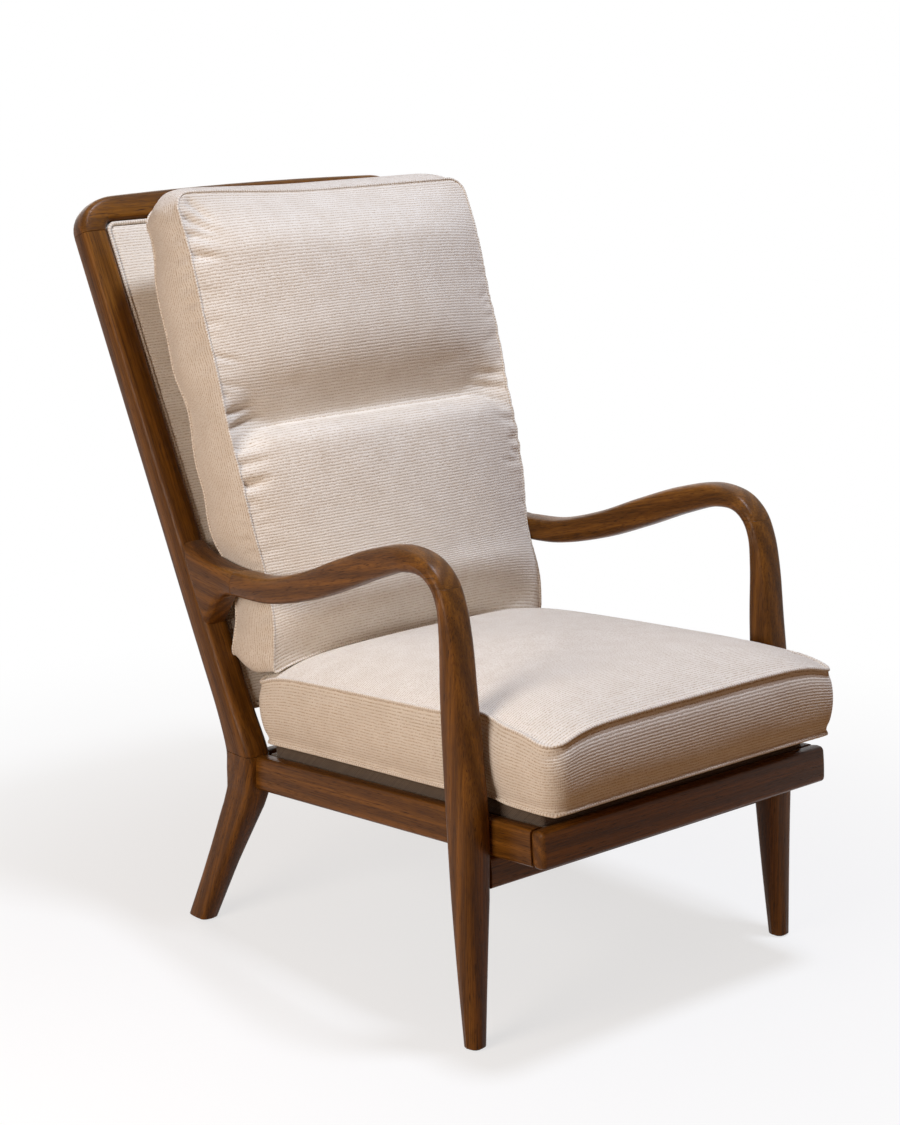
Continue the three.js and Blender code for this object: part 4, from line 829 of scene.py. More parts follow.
def deck_rings(size, levels):
    """Rectangles with round corners in the seat's frame, one for each [inset, up] of the levels. Each is
    the front edge, the rear edge and the half width of the size, all drawn in by the inset."""
    rings = []
    for inset, up in levels:
        low, high, half = size[0] + inset, size[1] - inset, size[2] - inset
        corners = [(half, high, 1, 1), (-half, high, -1, 1), (-half, low, -1, -1), (half, low, 1, -1)]
        flat = rounded_outline(corners, max(6 - inset, 2.0), (24, 24, 24, 24), 5)
        rings.append(np.stack([flat[:, 0], flat[:, 1], np.full(len(flat), up)], -1))
    return from_seat(np.stack(rings))


# From the underside's middle to the turned-in hem, up the edge, over it, and along the top, which sinks 2 mm
levels = [(230, 62.7), (60, 62.7), (3.2, 62.7), (3.2, 50.4), (0.4, 50.4), (0, 51), (0, 64.2), (0.9, 66.4),
          (2.4, 67.4), (5, 67.7), (30, 67.7), (60, 66.9), (120, 66.2), (180, 65.9), (230, 65.8)]
rings = deck_rings(DECK_SIZE, levels)
deck = cloth_piece("cloth_deck", rings, ring_faces(*rings.shape[:2]), platform)
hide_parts("deck_cover")
spots = rings.reshape(-1, 3)
set_weave(deck, np.stack([spots[:, 0], spots[:, 1] + spots[:, 2]], -1)[corner_points(deck)])
smooth(deck, FOLD)
print("deck points:", len(deck.data.vertices))

# %% [markdown]
# Under the deck a dust cloth closes the seat. It is a thin sheet tacked to the rails' inner faces with its
# edge turned down 11 mm, and it sags 4 mm at its middle. The same rings serve, with other sizes and levels:
# along the underside, down and up the turned edge, and back along the top.

# %% Dust cloth
DUST_SIZE = (FRONT_THICK + 0.4, along_at(LEG_FACE, RAIL_TALL) - 0.8, SIDE_OUT - RAIL_THICK / 2 - 0.5)
DUST_TURN = 11  # how much is turned down at each edge
levels = [(230, 44.9), (160, 45.6), (90, 47.1), (40, 48.4), (12, 48.9), (3, 48.9), (0.9, 48.0), (0.8, 38.2),
          (0, 38.2), (0, 48.4), (0.5, 49.3), (3, 49.7), (12, 49.7), (40, 49.2), (90, 47.9), (160, 46.4),
          (230, 45.7)]
rings = deck_rings(DUST_SIZE, levels)
dust = cloth_piece("dust_cloth", rings, ring_faces(*rings.shape[:2]), platform)
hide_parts("dust_cover")
set_weave(dust, rings.reshape(-1, 3)[:, :2][corner_points(dust)])
smooth(dust, FOLD)
wide, long = 2 * (DUST_SIZE[2] + DUST_TURN), DUST_SIZE[1] - DUST_SIZE[0] + 2 * DUST_TURN
print("dust cloth points:", len(dust.data.vertices))

# %% [markdown]
# ## Loose cushions
# Both cushions are boxed: a front panel, a back panel and a boxing strip between them, sewn at two seams.
# That is also how the mesh is laid out. Two grids stand for the panels, and rings of points between their
# rims stand for the boxing, so that the seams are rows of points which later steps can hold, crease and sew
# a cord along. Each point keeps its place on the flat pattern in an attribute: across, lengthwise and
# through, all in metres. A voxel remesh would be quicker to write, but it loses the pattern that the ribs
# must follow.

# %% A boxed cushion's mesh
def boxed_layout(columns, rows, levels):
    """Numbers the points: the front panel's grid, then the back panel's, then the boxing's rings between
    their rims. Gives u from -1 to 1, v from 0 to 1 and w from 0 to 1 for each, the rim and the faces."""
    u, v = np.meshgrid(np.linspace(-1, 1, columns + 1), np.linspace(0, 1, rows + 1))
    grid = np.arange(u.size).reshape(u.shape)
    rim = np.concatenate([grid[0, :-1], grid[:-1, -1], grid[-1, :0:-1], grid[:0:-1, 0]])
    flat = np.stack([u.ravel(), v.ravel()], -1)
    through = [np.zeros(u.size), np.ones(u.size)] + [np.full(len(rim), j / levels) for j in range(1, levels)]
    params = np.column_stack([np.vstack([flat, flat] + [flat[rim]] * (levels - 1)), np.concatenate(through)])
    quads = np.stack([grid[:-1, :-1], grid[:-1, 1:], grid[1:, 1:], grid[1:, :-1]], -1).reshape(-1, 4)
    first = 2 * u.size
    rings = [rim] + [first + j * len(rim) + np.arange(len(rim)) for j in range(levels - 1)] + [rim + u.size]
    sides = [np.stack([a, b, np.roll(b, -1), np.roll(a, -1)], -1) for a, b in zip(rings[:-1], rings[1:])]
    faces = np.vstack([quads, quads[:, ::-1] + u.size] + sides)
    return params, np.array(rings), faces, len(quads)


# %% [markdown]
# The corners of the flat pattern are round. Then the boxing's points are pushed out, the whole is bent into its
# place, and each face corner gets the u and v of its panel or, on the boxing, of the strip.

# %% A boxed cushion's pattern and piece
def round_plan(a, b, half, length, corners):
    """Inside each corner's square of one radius, a point at p and q moves onto the circle whose radius is the
    larger of them, at 45 degrees times the smaller over the larger, measured from the larger's own axis, so
    the square's rim becomes a quarter circle."""
    radius = np.where(b > length / 2, corners[1], corners[0])
    cx, cy = np.sign(a) * (half - radius), np.where(b > length / 2, length - radius, radius)
    p, q = np.abs(a - cx) / radius, np.abs(b - cy) / radius
    inside = (np.abs(a) > half - radius) & (np.abs(b - length / 2) > length / 2 - radius)
    large = np.maximum(np.maximum(p, q), 1e-9)
    turn = np.pi / 4 * np.where(p >= q, q / large, 2 - p / large)
    x = cx + np.sign(a) * radius * large * np.cos(turn)
    y = cy + np.sign(b - length / 2) * radius * large * np.sin(turn)
    return np.where(inside, x, a), np.where(inside, y, b)


def boxed_cushion(name, shape, size, columns, rows, levels, corners, bulge):
    """The flat pattern is half * u across, length * v lengthwise, with a radius for its near corners and
    one for its far corners. The boxing's points stand out from the rim by bulge times 1 - (2w - 1) squared.
    shape turns across, lengthwise and through into a place."""
    half, length, thick = size
    params, rings, faces, panel = boxed_layout(columns, rows, levels)
    u, v, w = params.T
    a, b = round_plan(u * half, v * length, half, length, corners)
    rim = np.stack([a, b], -1)[rings[0]]
    run = np.roll(rim, -1, 0) - np.roll(rim, 1, 0)
    out = np.stack([run[:, 1], -run[:, 0]], -1) / np.linalg.norm(run, axis=1)[:, None]
    swell = bulge * (1 - (2 * np.linspace(0, 1, levels + 1) - 1) ** 2)
    push = np.zeros((len(a), 2))
    push[rings] = swell[:, None, None] * out
    plan = np.column_stack([a, b, w * thick])
    places = shape(a + push[:, 0], b + push[:, 1], w)
    piece = cloth_piece(name, places, faces.tolist())
    piece.data.attributes.new("plan", "FLOAT_VECTOR", "POINT").data.foreach_set(
        "vector", (plan * MM).astype(np.float32).ravel())
    far = length_along(np.vstack([rim, rim[:1]]))
    uv = np.empty((len(faces), 4, 2))
    order = faces_in_order(piece)
    uv[: 2 * panel] = np.stack([a, b], -1)[order[: 2 * panel]]
    strip = np.arange(len(faces) - 2 * panel)
    column, level = strip % len(rim), strip // len(rim)
    beside, here = np.roll(rings, -1, 1), order[2 * panel :]
    is_beside = (here == beside[level, column][:, None]) | (here == beside[level + 1, column][:, None])
    is_deeper = (here == rings[level + 1, column][:, None]) | (here == beside[level + 1, column][:, None])
    corner_column, corner_level = column[:, None] + is_beside, level[:, None] + is_deeper
    uv[2 * panel :] = np.stack([far[corner_column], corner_level / levels * thick], -1)
    set_weave(piece, uv.reshape(-1, 2) * MM)
    return piece, rings


def faces_in_order(piece):
    """The four points of every face, in the order the mesh keeps them."""
    return corner_points(piece).reshape(-1, 4)


def places_of(piece):
    """Each point's place in metres, as one array."""
    places = np.empty(len(piece.data.vertices) * 3, np.float32)
    piece.data.vertices.foreach_get("co", places)
    return places.reshape(-1, 3).astype(float)


def set_places(piece, places):
    """Puts an array of places back into the mesh."""
    piece.data.vertices.foreach_set("co", np.asarray(places, np.float32).ravel())
    piece.data.update()


# %% [markdown]
# ## The seat cushion's form
# It is 536 mm wide at its seams in front and 528 at the rear. The top swells 42 mm over its seam and the
# seam rises a little between the corners. A crown of 1 - x to the fourth is nearly flat in the middle and
# falls away close to the seam, which is what a full cushion of foam wrapped in fibre does.

# %% Seat cushion's form
SEAT_FRONT, SEAT_HALF, SEAT_THICK, SEAT_BASE = -27.0, 268.0, 100.0, 68.0
SEAT_SHORT = 56.6  # its rear edge before the posts' rear line
SEAT_LONG = along_at(POST_HEEL, RAIL_TALL) - SEAT_SHORT - SEAT_FRONT
SEAT_RIM, LEG_ALONG = 260.0, 123.0  # half the flat pattern's width, and the front legs' place along the seat
SEAT_CROWN, SEAM_RISE = 42, 8  # the top's swell, and the seam's rise between the corners
SEAT_TAPER, SEAT_WAIST = 8, 5  # how much narrower it is at the rear, and how far each side is drawn in
SWELL_TAPER = 10  # how much narrower the swell is at the rear, on each side
BESIDE_LEGS, BASE_IN = 8, 0.015  # out before and behind the legs, and in at the base, as a share
LIP_RISE, LIP_REACH = 6, 18  # the base's turn up at its seam, and how far in it starts
CORNER_FALL, CORNER_REACH = 9, 42  # the top's fall at each corner, and how far from it


def step(value, low, high):
    """0 up to low, 1 past high, and 3 t squared less 2 t cubed between them."""
    t = np.clip((value - low) / (high - low), 0, 1)
    return t * t * (3 - 2 * t)


def hill(value, middle, reach):
    """e to the power of minus the square of the distance from the middle over the reach."""
    return np.exp(-(((value - middle) / reach) ** 2))


def seat_swell(x, along):
    """Rise of the top over its corners: 8 mm less 8 times (x y) to the sixth, plus 42 times (1 - x to the
    fourth) times (1 - y to the fourth), with x and y as shares of the half width and half length."""
    share = (along - SEAT_FRONT) / SEAT_LONG
    x = np.minimum(1, np.abs(x) / (SEAT_HALF - SWELL_TAPER * share))
    y = np.minimum(1, np.abs(share * 2 - 1))
    return SEAM_RISE * (1 - (x * y) ** 6) + SEAT_CROWN * (1 - x**4) * (1 - y**4)


def seat_top(x, y):
    """Height over the floor of the seat cushion's top, at a place in the drawing, found in three rounds."""
    up = np.full(np.shape(x), SEAT_BASE + SEAT_THICK)
    for _ in range(3):
        along = along_at(y, up)
        up = SEAT_BASE + SEAT_THICK + seat_swell(x, along)
    return RAIL_FOOT - along * math.sin(PITCH) + up * math.cos(PITCH)


def seat_shape(a, b, w):
    """Across is narrowed by 8 mm to the rear and drawn in by 5 mm between the corners. The foam stands 8 mm
    further out before and behind the legs, which pinch it. Up runs from the base to the top seam, and the
    swell is taken in full by the top and in proportion by the boxing. The base turns up by 6 mm at its
    seam, which is drawn in by 1.5 percent, and the top falls by up to 9 mm round each corner."""
    share, middle = b / SEAT_LONG, SEAT_LONG / 2
    waist = SEAT_WAIST * (1 - np.abs(2 * share - 1) ** 4)
    x = a * (1 - SEAT_TAPER / (2 * SEAT_HALF) * share) * (1 - waist / SEAT_HALF)
    waist = SEAT_WAIST * (1 - np.minimum(1, np.abs(a) / SEAT_HALF) ** 4)
    along = SEAT_FRONT + middle + (b - middle) * (1 - waist / middle)
    x = x * (1 + BESIDE_LEGS * (1 - 1.6 * hill(along, LEG_ALONG, MEMBER)) / SEAT_RIM) * (1 - BASE_IN * w)
    along = along - BASE_IN * w * (along - SEAT_FRONT - middle)
    side, end = SEAT_RIM - np.abs(a), np.minimum(b, SEAT_LONG - b)
    lip = LIP_RISE * np.where(w == 1, 1 - step(np.minimum(side, end), 0, LIP_REACH), w)
    fall = CORNER_FALL * hill(np.hypot(side, end), 0, CORNER_REACH)
    up = SEAT_BASE + GAP + lip + (1 - w) * (SEAT_THICK - GAP + seat_swell(x, along) - fall)
    return from_seat(np.stack([x, along, up], -1))


seat, seat_rings = boxed_cushion("cushion_seat", seat_shape, (SEAT_RIM, SEAT_LONG, SEAT_THICK), 66, 78, 12,
                                 (30, 26), 8.0)
print("seat cushion:", len(seat.data.vertices), "points, long", round(float(SEAT_LONG), 1))

# %% [markdown]
# ## The back cushion's form
# The back cushion leans on the panel in a slack S: its front seam was measured in the photograph as a
# curve, and the thickness stands at right angles to it. The arms press its sides in a little. Its foot
# rests on the seat cushion and takes its crown. A channel is sewn across it near the middle, which parts a
# head pillow from the back. The cover dips 60 mm to that stitching: in a long roll over it, and in a short
# steep step under it.

# %% Back cushion's form
SEAM_ROWS = np.array([[0.0, 0.0], [0.01, 0.089], [0.108, 0.187], [0.199, 0.293], [0.3, 0.407], [0.438, 0.528],
                      [0.556, 0.65], [0.673, 0.748], [0.815, 0.878], [1.0, 1.0]])
BACK_THICK, BACK_TOP, BACK_HALF, BACK_FOOT_HALF = 97.0, 1039.0, 266.0, 257.0
BEHIND_HEEL = 22.2  # its rear face, at its foot, behind the posts' rear line at theirs
OVER_SEAT = 10.6  # its front seam, at its foot, over the seat cushion
SEAM_LEAN, CHANNEL_AT = 0.314, 0.513  # the seam's run back and the channel's height, as shares of its rise
foot_y = POST_HEEL + BEHIND_HEEL - BACK_THICK / math.cos(RAKE)
foot_z = float(seat_top(np.array(BACK_FOOT_HALF), np.array(foot_y))) + OVER_SEAT
back_rise = BACK_TOP - foot_z
seam_line = curve_through(np.array([foot_y, foot_z]) + SEAM_ROWS * (back_rise * SEAM_LEAN, back_rise), 12)
seam_far = length_along(seam_line)
BACK_LONG = float(seam_far[-1])
CHANNEL = foot_z + CHANNEL_AT * back_rise
BACK_CROWN, REAR_CROWN = 49, 22  # the swell of its front and of its rear
CHANNEL_DEEP, CHANNEL_FALL = 60, 15  # the dip to the stitching, and how much lower its ends lie
ROLL_REACH, STEP_REACH = 66, 12  # how far the dip reaches over the stitching and under it
REAR_RISE, NEAR_RISE, CORNER_DROP = 30, 12, 14  # at the top: the rear edge, the near corner, the rear corners
ARM_PRESS, FOOT_SAG = 15, 8  # in at the arms, and down at the front seam's foot
SOFT_GAP = 1.3  # between the two cushions


def back_frame(b):
    """The seam's place and direction at a distance along it, as y and z, going on straight past both ends."""
    inside = np.clip(b, 0, BACK_LONG)
    run = np.gradient(seam_line, seam_far, axis=0)
    place = np.stack([np.interp(inside, seam_far, seam_line[:, k]) for k in (0, 1)], -1)
    way = np.stack([np.interp(inside, seam_far, run[:, k]) for k in (0, 1)], -1)
    way /= np.linalg.norm(way, axis=-1, keepdims=True)
    return place + (b - inside)[:, None] * way, way


def channel_dip(a):
    """How far the channel falls towards its ends: 15 mm over the last quarter of the half width."""
    return CHANNEL_FALL * step(np.abs(a) / BACK_HALF, 0.74, 1)


def back_shape(a, b, w):
    """Depth is 49 mm of crown, which grows from each end and fades to the sides, less the channel's dip of
    60 mm. The top's rear edge stands 30 mm and the near front corner 12 mm higher than a square box would,
    and the arms press the sides in by up to 15 mm. The boxing's swell counts more than double past both
    ends. Nothing goes below the seat cushion's top."""
    b = np.where(b < 0, b * 2.4, np.where(b > BACK_LONG, BACK_LONG + (b - BACK_LONG) * 2.2, b))
    share = b / BACK_LONG
    place, way = back_frame(b)
    half = BACK_FOOT_HALF + (BACK_HALF - BACK_FOOT_HALF) * np.clip(share, 0, 1)
    x = a * half / BACK_HALF
    s = np.minimum(1, np.abs(x) / half)
    grown = step(share, 0, 0.14) * (1 - step(share, 0.86, 1))
    bulge = 1 - s**2.6
    over = place[:, 1] - CHANNEL + channel_dip(a)
    reach, power = np.where(over > 0, ROLL_REACH, STEP_REACH), np.where(over > 0, 1.9, 1.3)
    valley = np.exp(-((np.abs(over) / reach) ** power))
    front = BACK_CROWN * grown * bulge - CHANNEL_DEEP * valley * (1 - 0.55 * s**4) * (1 - s**10)
    rear = REAR_CROWN * grown * bulge
    deep = np.where(w == 0, -front, np.where(w == 1, BACK_THICK + rear, w * BACK_THICK))
    press = ARM_PRESS * hill(place[:, 1], 0.8 * ARM_HEIGHT, 0.12 * ARM_HEIGHT) * (0.7 + 0.3 * w)
    x = x * (1 - press / half)
    y = place[:, 0] + deep * way[:, 1]
    z = place[:, 1] - deep * way[:, 0]
    z = z + step(share, 0.72, 1) * (REAR_RISE * w + NEAR_RISE * (1 - w) * step(-x, 0, BACK_FOOT_HALF))
    round_off = w * step(s, 0.8, 1) * step(share, 0.9, 1)
    z, x = z - CORNER_DROP * round_off, x * (1 - 0.03 * round_off)
    x = x * (1 + 0.02 * step(share, 0.3, 0.9) * hill(w, 0.55, 0.4))
    settled = 1 - step(share, 0, 0.2)
    z = z + settled * (seat_top(x, y) - seat_top(np.full_like(x, BACK_FOOT_HALF), y))
    z = np.maximum(z - FOOT_SAG * (1 - w) * (1 - step(share, 0, 0.05)), seat_top(x, y) + SOFT_GAP)
    return from_drawing(np.stack([x, y, z], -1))


back, back_rings = boxed_cushion("cushion_back", back_shape, (BACK_HALF, BACK_LONG, BACK_THICK), 72, 96, 14,
                                 (8, 26), 6.0)
print("back cushion:", len(back.data.vertices), "points, seam", round(BACK_LONG, 1), "mm, channel at",
      round(CHANNEL, 1))

# %% [markdown]
# ## Filling the covers
# A cover sewn to its pattern is swelled by the foam in it. Cloth simulation does that: the seams, the
# channel and the resting face are held, air pressure pushes the rest out with gravity off, and twenty steps
# are enough for it to settle. The result is read back, no point may move more than a few millimetres, and
# the modifier goes. Each cushion is then subdivided once, with its seams creased, so that the edges stay
# crisp.

# %% Filling
def fill_with_foam(piece, held, pressure, most):
    """Steps the cloth for 20 frames, and moves each point by its travel, shortened to at most the given
    length by travel times most over the square root of most squared plus travel squared."""
    before = places_of(piece)
    group = piece.vertex_groups.new(name="held")
    group.add([int(i) for i in held], 1.0, "REPLACE")
    cloth = piece.modifiers.new("cover", "CLOTH")
    rules = cloth.settings
    rules.quality, rules.mass, rules.bending_stiffness = 4, 0.3, 2.0
    rules.tension_stiffness = rules.compression_stiffness = 12
    rules.shear_stiffness, rules.vertex_group_mass = 6, "held"
    rules.use_pressure, rules.uniform_pressure_force = True, pressure
    rules.effector_weights.gravity = 0
    cloth.point_cache.frame_start, cloth.point_cache.frame_end = 1, 20
    for frame_number in range(1, 21):
        bpy.context.scene.frame_set(frame_number)
    filled = piece.evaluated_get(bpy.context.evaluated_depsgraph_get())
    after = np.empty(len(before) * 3, np.float32)
    filled.data.vertices.foreach_get("co", after)
    travel = after.reshape(-1, 3) - before
    far = np.linalg.norm(travel, axis=1, keepdims=True)
    piece.modifiers.remove(cloth)
    piece.vertex_groups.remove(group)
    bpy.context.scene.frame_set(1)
    set_places(piece, before + travel * most / np.sqrt(most**2 + far**2))
    print(piece.name, "swelled by up to", round(float(far.max() * 1000), 1), "mm")


# %% [markdown]
# Subdividing rounds every edge off. An edge's crease, from 0 to 1, holds against that, and the two seams
# get 0.7. Each point also keeps its place on the flat pattern, so a later step can still tell where on the
# cover it is.

# %% Finer mesh
def crease_rims(piece, rings, sharpness):
    """Creases the edges that join neighbours on the front and rear seams."""
    edges = np.empty(len(piece.data.edges) * 2, np.int32)
    piece.data.edges.foreach_get("vertices", edges)
    edges = edges.reshape(-1, 2)
    on_seam = np.isin(edges, rings[0]).all(1) | np.isin(edges, rings[-1]).all(1)
    crease = piece.data.attributes.new("crease_edge", "FLOAT", "EDGE")
    crease.data.foreach_set("value", np.where(on_seam, sharpness, 0).astype(np.float32))


def refine(piece):
    """One level of subdivision, put into the mesh."""
    finer = piece.modifiers.new("finer", "SUBSURF")
    finer.levels = finer.render_levels = 1
    mesh = bpy.data.meshes.new_from_object(piece.evaluated_get(bpy.context.evaluated_depsgraph_get()))
    piece.modifiers.clear()
    piece.data = mesh


def plan_of(piece):
    """Each point's place on the flat pattern, in mm."""
    plan = np.empty(len(piece.data.vertices) * 3, np.float32)
    piece.data.attributes["plan"].data.foreach_get("vector", plan)
    return plan.reshape(-1, 3).astype(float) / MM


def normals_of(piece):
    """Each point's outward direction, one long."""
    normals = np.empty(len(piece.data.vertices) * 3, np.float32)
    piece.data.vertices.foreach_get("normal", normals)
    return normals.reshape(-1, 3).astype(float)


# %% Both cushions filled
PRESSURE, MOST = 1.5, 6 * MM
plan = plan_of(back)
channel_far = float(np.interp(CHANNEL, seam_line[:, 1], seam_far))
from_channel = plan[:, 1] + channel_dip(plan[:, 0]) - channel_far
on_channel = (plan[:, 2] == 0) & (np.abs(from_channel) < 6)
resting = (plan[:, 1] < 1) | on_channel
held = np.unique(np.concatenate([back_rings[0], back_rings[-1], np.flatnonzero(resting)]))
fill_with_foam(back, held, PRESSURE, MOST)
resting = plan_of(seat)[:, 2] > SEAT_THICK - 1
held = np.unique(np.concatenate([seat_rings[0], seat_rings[-1], np.flatnonzero(resting)]))
fill_with_foam(seat, held, PRESSURE, MOST)
for piece, rings in ((back, back_rings), (seat, seat_rings)):
    crease_rims(piece, rings, 0.7)
    refine(piece)
    print(piece.name, len(piece.data.polygons), "faces")

# %% [markdown]
# ## Creases
# Fabric that is pulled to a seam gathers in short creases. They are narrow valleys: along a crease the
# depth fades from the seam to nothing, and across it the depth falls off on a bell-shaped curve. A crease
# is a start, a direction, a length, a width and a depth on the flat pattern, and numpy adds up all of them
# at once along the normals. The long soft lumps of the filling are a few slow sine waves.

# %% Creases
def creases(plan, face, marks):
    """For marks [x, y, angle, length, width, depth]: t runs along a mark from 0 to 1 and s is the distance
    beside it over its width. The sum of depth times e to the minus s squared, times t's fade in and out, on
    the face."""
    x, y, angle, long, wide, deep = np.asarray(marks, float).T
    angle = np.radians(angle)
    dx, dy = plan[:, 0, None] - x, plan[:, 1, None] - y
    t = (dx * np.cos(angle) + dy * np.sin(angle)) / long
    s = (-dx * np.sin(angle) + dy * np.cos(angle)) / wide
    fade = step(t, -0.12, 0.12) * (1 - step(t, 0.3, 1.0))
    return np.where(face, (deep * np.exp(-(s**2)) * fade).sum(1), 0.0)


def row_of_creases(seed, side, low, high, count, lean, long, deep):
    """Creases that start at a side seam between two heights, unevenly spaced, and run inwards."""
    random = np.random.default_rng(seed)
    y = np.linspace(low, high, count) + random.uniform(-8, 8, count)
    tilt = lean + random.uniform(-17, 17, count)
    angle = np.where(side > 0, 180 - tilt, tilt)
    x, length = np.full(count, side * BACK_HALF), long * random.uniform(0.4, 1.4, count)
    width = random.uniform(3.6, 7.5, count)
    return np.column_stack([x, y, angle, length, width, deep * random.uniform(0.2, 1.3, count)])


def ease_in(piece, depth):
    """Moves each point in along its normal by its depth, in mm."""
    set_places(piece, places_of(piece) - normals_of(piece) * depth[:, None] * MM)


# %% [markdown]
# On the back cushion, rows of small creases run in from both side seams, above and below the channel. The
# large folds at the channel's ends and at the near upper corner are set one by one, as the photograph shows
# them.

# %% Creases of the back cushion
SIDE_FROM = 250  # past this, across, the boxing is that of the two long sides
plan = plan_of(back)
front, rear = plan[:, 2] < 1, plan[:, 2] > BACK_THICK - 1
box = (plan[:, 2] >= 1) & (plan[:, 2] <= BACK_THICK - 1)
side_boxing = np.abs(plan[:, 0]) > SIDE_FROM
marks = []
for side in (-1, 1):
    marks += [row_of_creases(3 + side, side, channel_far - 120, channel_far - 50, 5, 9, 50, 3.2),
              row_of_creases(7 + side, side, channel_far + 50, channel_far + 150, 6, -8, 46, 2.8),
              row_of_creases(11 + side, side, channel_far - 240, channel_far - 130, 6, 5, 36, 1.6),
              row_of_creases(19 + side, side, channel_far + 160, BACK_LONG - 90, 5, -6, 34, 1.6)]
for side, share in ((-1, 1.0), (1, 0.5)):
    for up, lean, long, wide, deep in ((24, 9, 66, 6, 7.0), (2, 13, 84, 6, 8.0), (-26, 6, 52, 6, 5.5),
                                       (-52, 7, 58, 6, 4.5), (-80, 5, 46, 5, 3.5)):
        angle = 180 - lean if side > 0 else lean
        marks.append([[side * (BACK_HALF - 2), channel_far + up, angle, long, wide, deep * share]])
for across, down, angle, long, wide, deep in ((-262, 34, -34, 74, 6.5, 7.5), (-264, 58, -20, 62, 5.5, 6.5),
                                              (-264, 88, -12, 52, 5, 5.0), (-246, 12, -52, 58, 6, 5.5)):
    marks.append([[across, BACK_LONG - down, angle, long, wide, deep]])
depth = creases(plan, front, np.vstack(marks))
print("creases:", sum(len(m) for m in marks))

# %% [markdown]
# To them come the filling's lumps on both faces, fading out near the seams, and slow waves along the side
# boxing. Beside the front seam the boxing puckers where the stitches gather it, and a fine line marks the
# sewn channel.

# %% Lumps, puckers and the channel's line
lumps = 0.8 * np.sin(plan[:, 0] / 61 + 0.7) * np.sin(plan[:, 1] / 47)
lumps += 0.5 * np.sin(plan[:, 0] / 29 + plan[:, 1] / 37)
side, end = BACK_HALF - np.abs(plan[:, 0]), np.minimum(plan[:, 1], BACK_LONG - plan[:, 1])
depth += np.where(front | rear, lumps * np.minimum(1, side / 50) * np.minimum(1, end / 50), 0)
wave = 2.2 * np.sin(plan[:, 1] / 19 + 0.4) + 3.0 * np.sin(plan[:, 1] / 41 + np.sign(plan[:, 0]))
depth += np.where(side_boxing, wave * step(plan[:, 2], 10, 75) * (box | rear), 0)
ease_in(back, depth)
pucker = np.sin(plan[:, 1] / 4.1 + 2.5 * np.sin(plan[:, 1] / 29)) * (0.6 + 0.4 * np.sin(plan[:, 1] / 67))
ease_in(back, np.where(box & side_boxing, 2.0 * pucker * hill(plan[:, 2], 16, 12), 0))
line = hill(plan[:, 1] + channel_dip(plan[:, 0]), channel_far, 2.6)
ease_in(back, np.where(front, 1.8 * line * step(side, 0, 14), 0))
print("deepest crease:", round(float(depth.max()), 1), "mm")

# %% [markdown]
# The seat cushion has no creases, only lumps on its top, waves along its boxing, and shallow valleys beside
# its welts, where the seams draw the cloth in.

# %% Lumps and valleys of the seat cushion
plan = plan_of(seat)
top, box = plan[:, 2] < 1, (plan[:, 2] >= 1) & (plan[:, 2] <= SEAT_THICK - 1)
lumps = 0.7 * np.sin(plan[:, 0] / 73 + 1.1) * np.sin(plan[:, 1] / 66 + 0.4)
lumps += 0.4 * np.sin(plan[:, 0] / 33 - plan[:, 1] / 41)
side, end = SEAT_RIM - np.abs(plan[:, 0]), np.minimum(plan[:, 1], SEAT_LONG - plan[:, 1])
around = np.sin((plan[:, 0] + plan[:, 1]) / 21) * 0.4 + np.sin((plan[:, 0] - plan[:, 1]) / 34 + 2) * 0.6
beside_top, beside_foot = hill(plan[:, 2], 9, 6), hill(plan[:, 2], SEAT_THICK - 9, 6)
on_box = np.where(box, 1.2 * (beside_top + beside_foot), 0)
valley = np.where(top, 0.8 * hill(np.minimum(side, end), 9, 6), on_box)
ease_in(seat, valley)
margin = np.minimum(1, side / 60) * np.minimum(1, end / 60)
ease_in(seat, np.where(top, lumps * margin, np.where(box, around * hill(plan[:, 2], SEAT_THICK / 2, 30), 0)))
for piece in (back, seat):
    piece.data.shade_smooth()
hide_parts("back_cushion")
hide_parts("seat_cushion")
print("deepest valley:", round(float(valley.max()), 1), "mm")

# %% [markdown]
# ## Welts and stitching
# The seat cushion's two seams carry a welt, a cord about 5 mm thick in a sleeve of the same cloth. The back
# cushion's seams are plain, and show as a thin ridge where the two panels are folded in together. Both are
# cords swept along the seam's own points after the filling has moved them, so they can't drift from the
# edge.

# %% Welts
def denser(path, per_span=3):
    """The same curve through a closed path's points, with three points for each one."""
    closed = np.vstack([path[-1:], path, path[:2]])
    return curve_through(closed, per_span)[per_span : -1 - per_span]


def seam_cord(name, seam, radius, out, wave=0.0, around=8):
    """The seam's points, made denser, moved a little out from the cushion's middle line, and swept by a
    circle."""
    path = denser(seam)
    away = path - path.mean(0)
    away /= np.linalg.norm(away, axis=1)[:, None]
    return tube(name, path + away * out, radius, around, wave, away)


back_seams = places_of(back)[back_rings[[0, -1]]]
seat_seams = places_of(seat)[seat_rings[[0, -1]]]
seat_welts = [seam_cord("welt_seat_" + name, seat_seams[k], 2.6 * MM, 0.7 * MM, 0.03)
              for k, name in enumerate(("top", "foot"))]
back_ridges = [seam_cord("ridge_back_" + name, back_seams[k], 1.9 * MM, 0.7 * MM, 0.06, 6)
               for k, name in enumerate(("front", "rear"))]
print("welts:", [len(w.data.vertices) for w in seat_welts + back_ridges])

# %% [markdown]
# ## Inner pieces
# Dowels, glue blocks, deck bars, webs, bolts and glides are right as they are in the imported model. Only their
# material changes. They keep their meshes, so their patterns read Object coordinates.

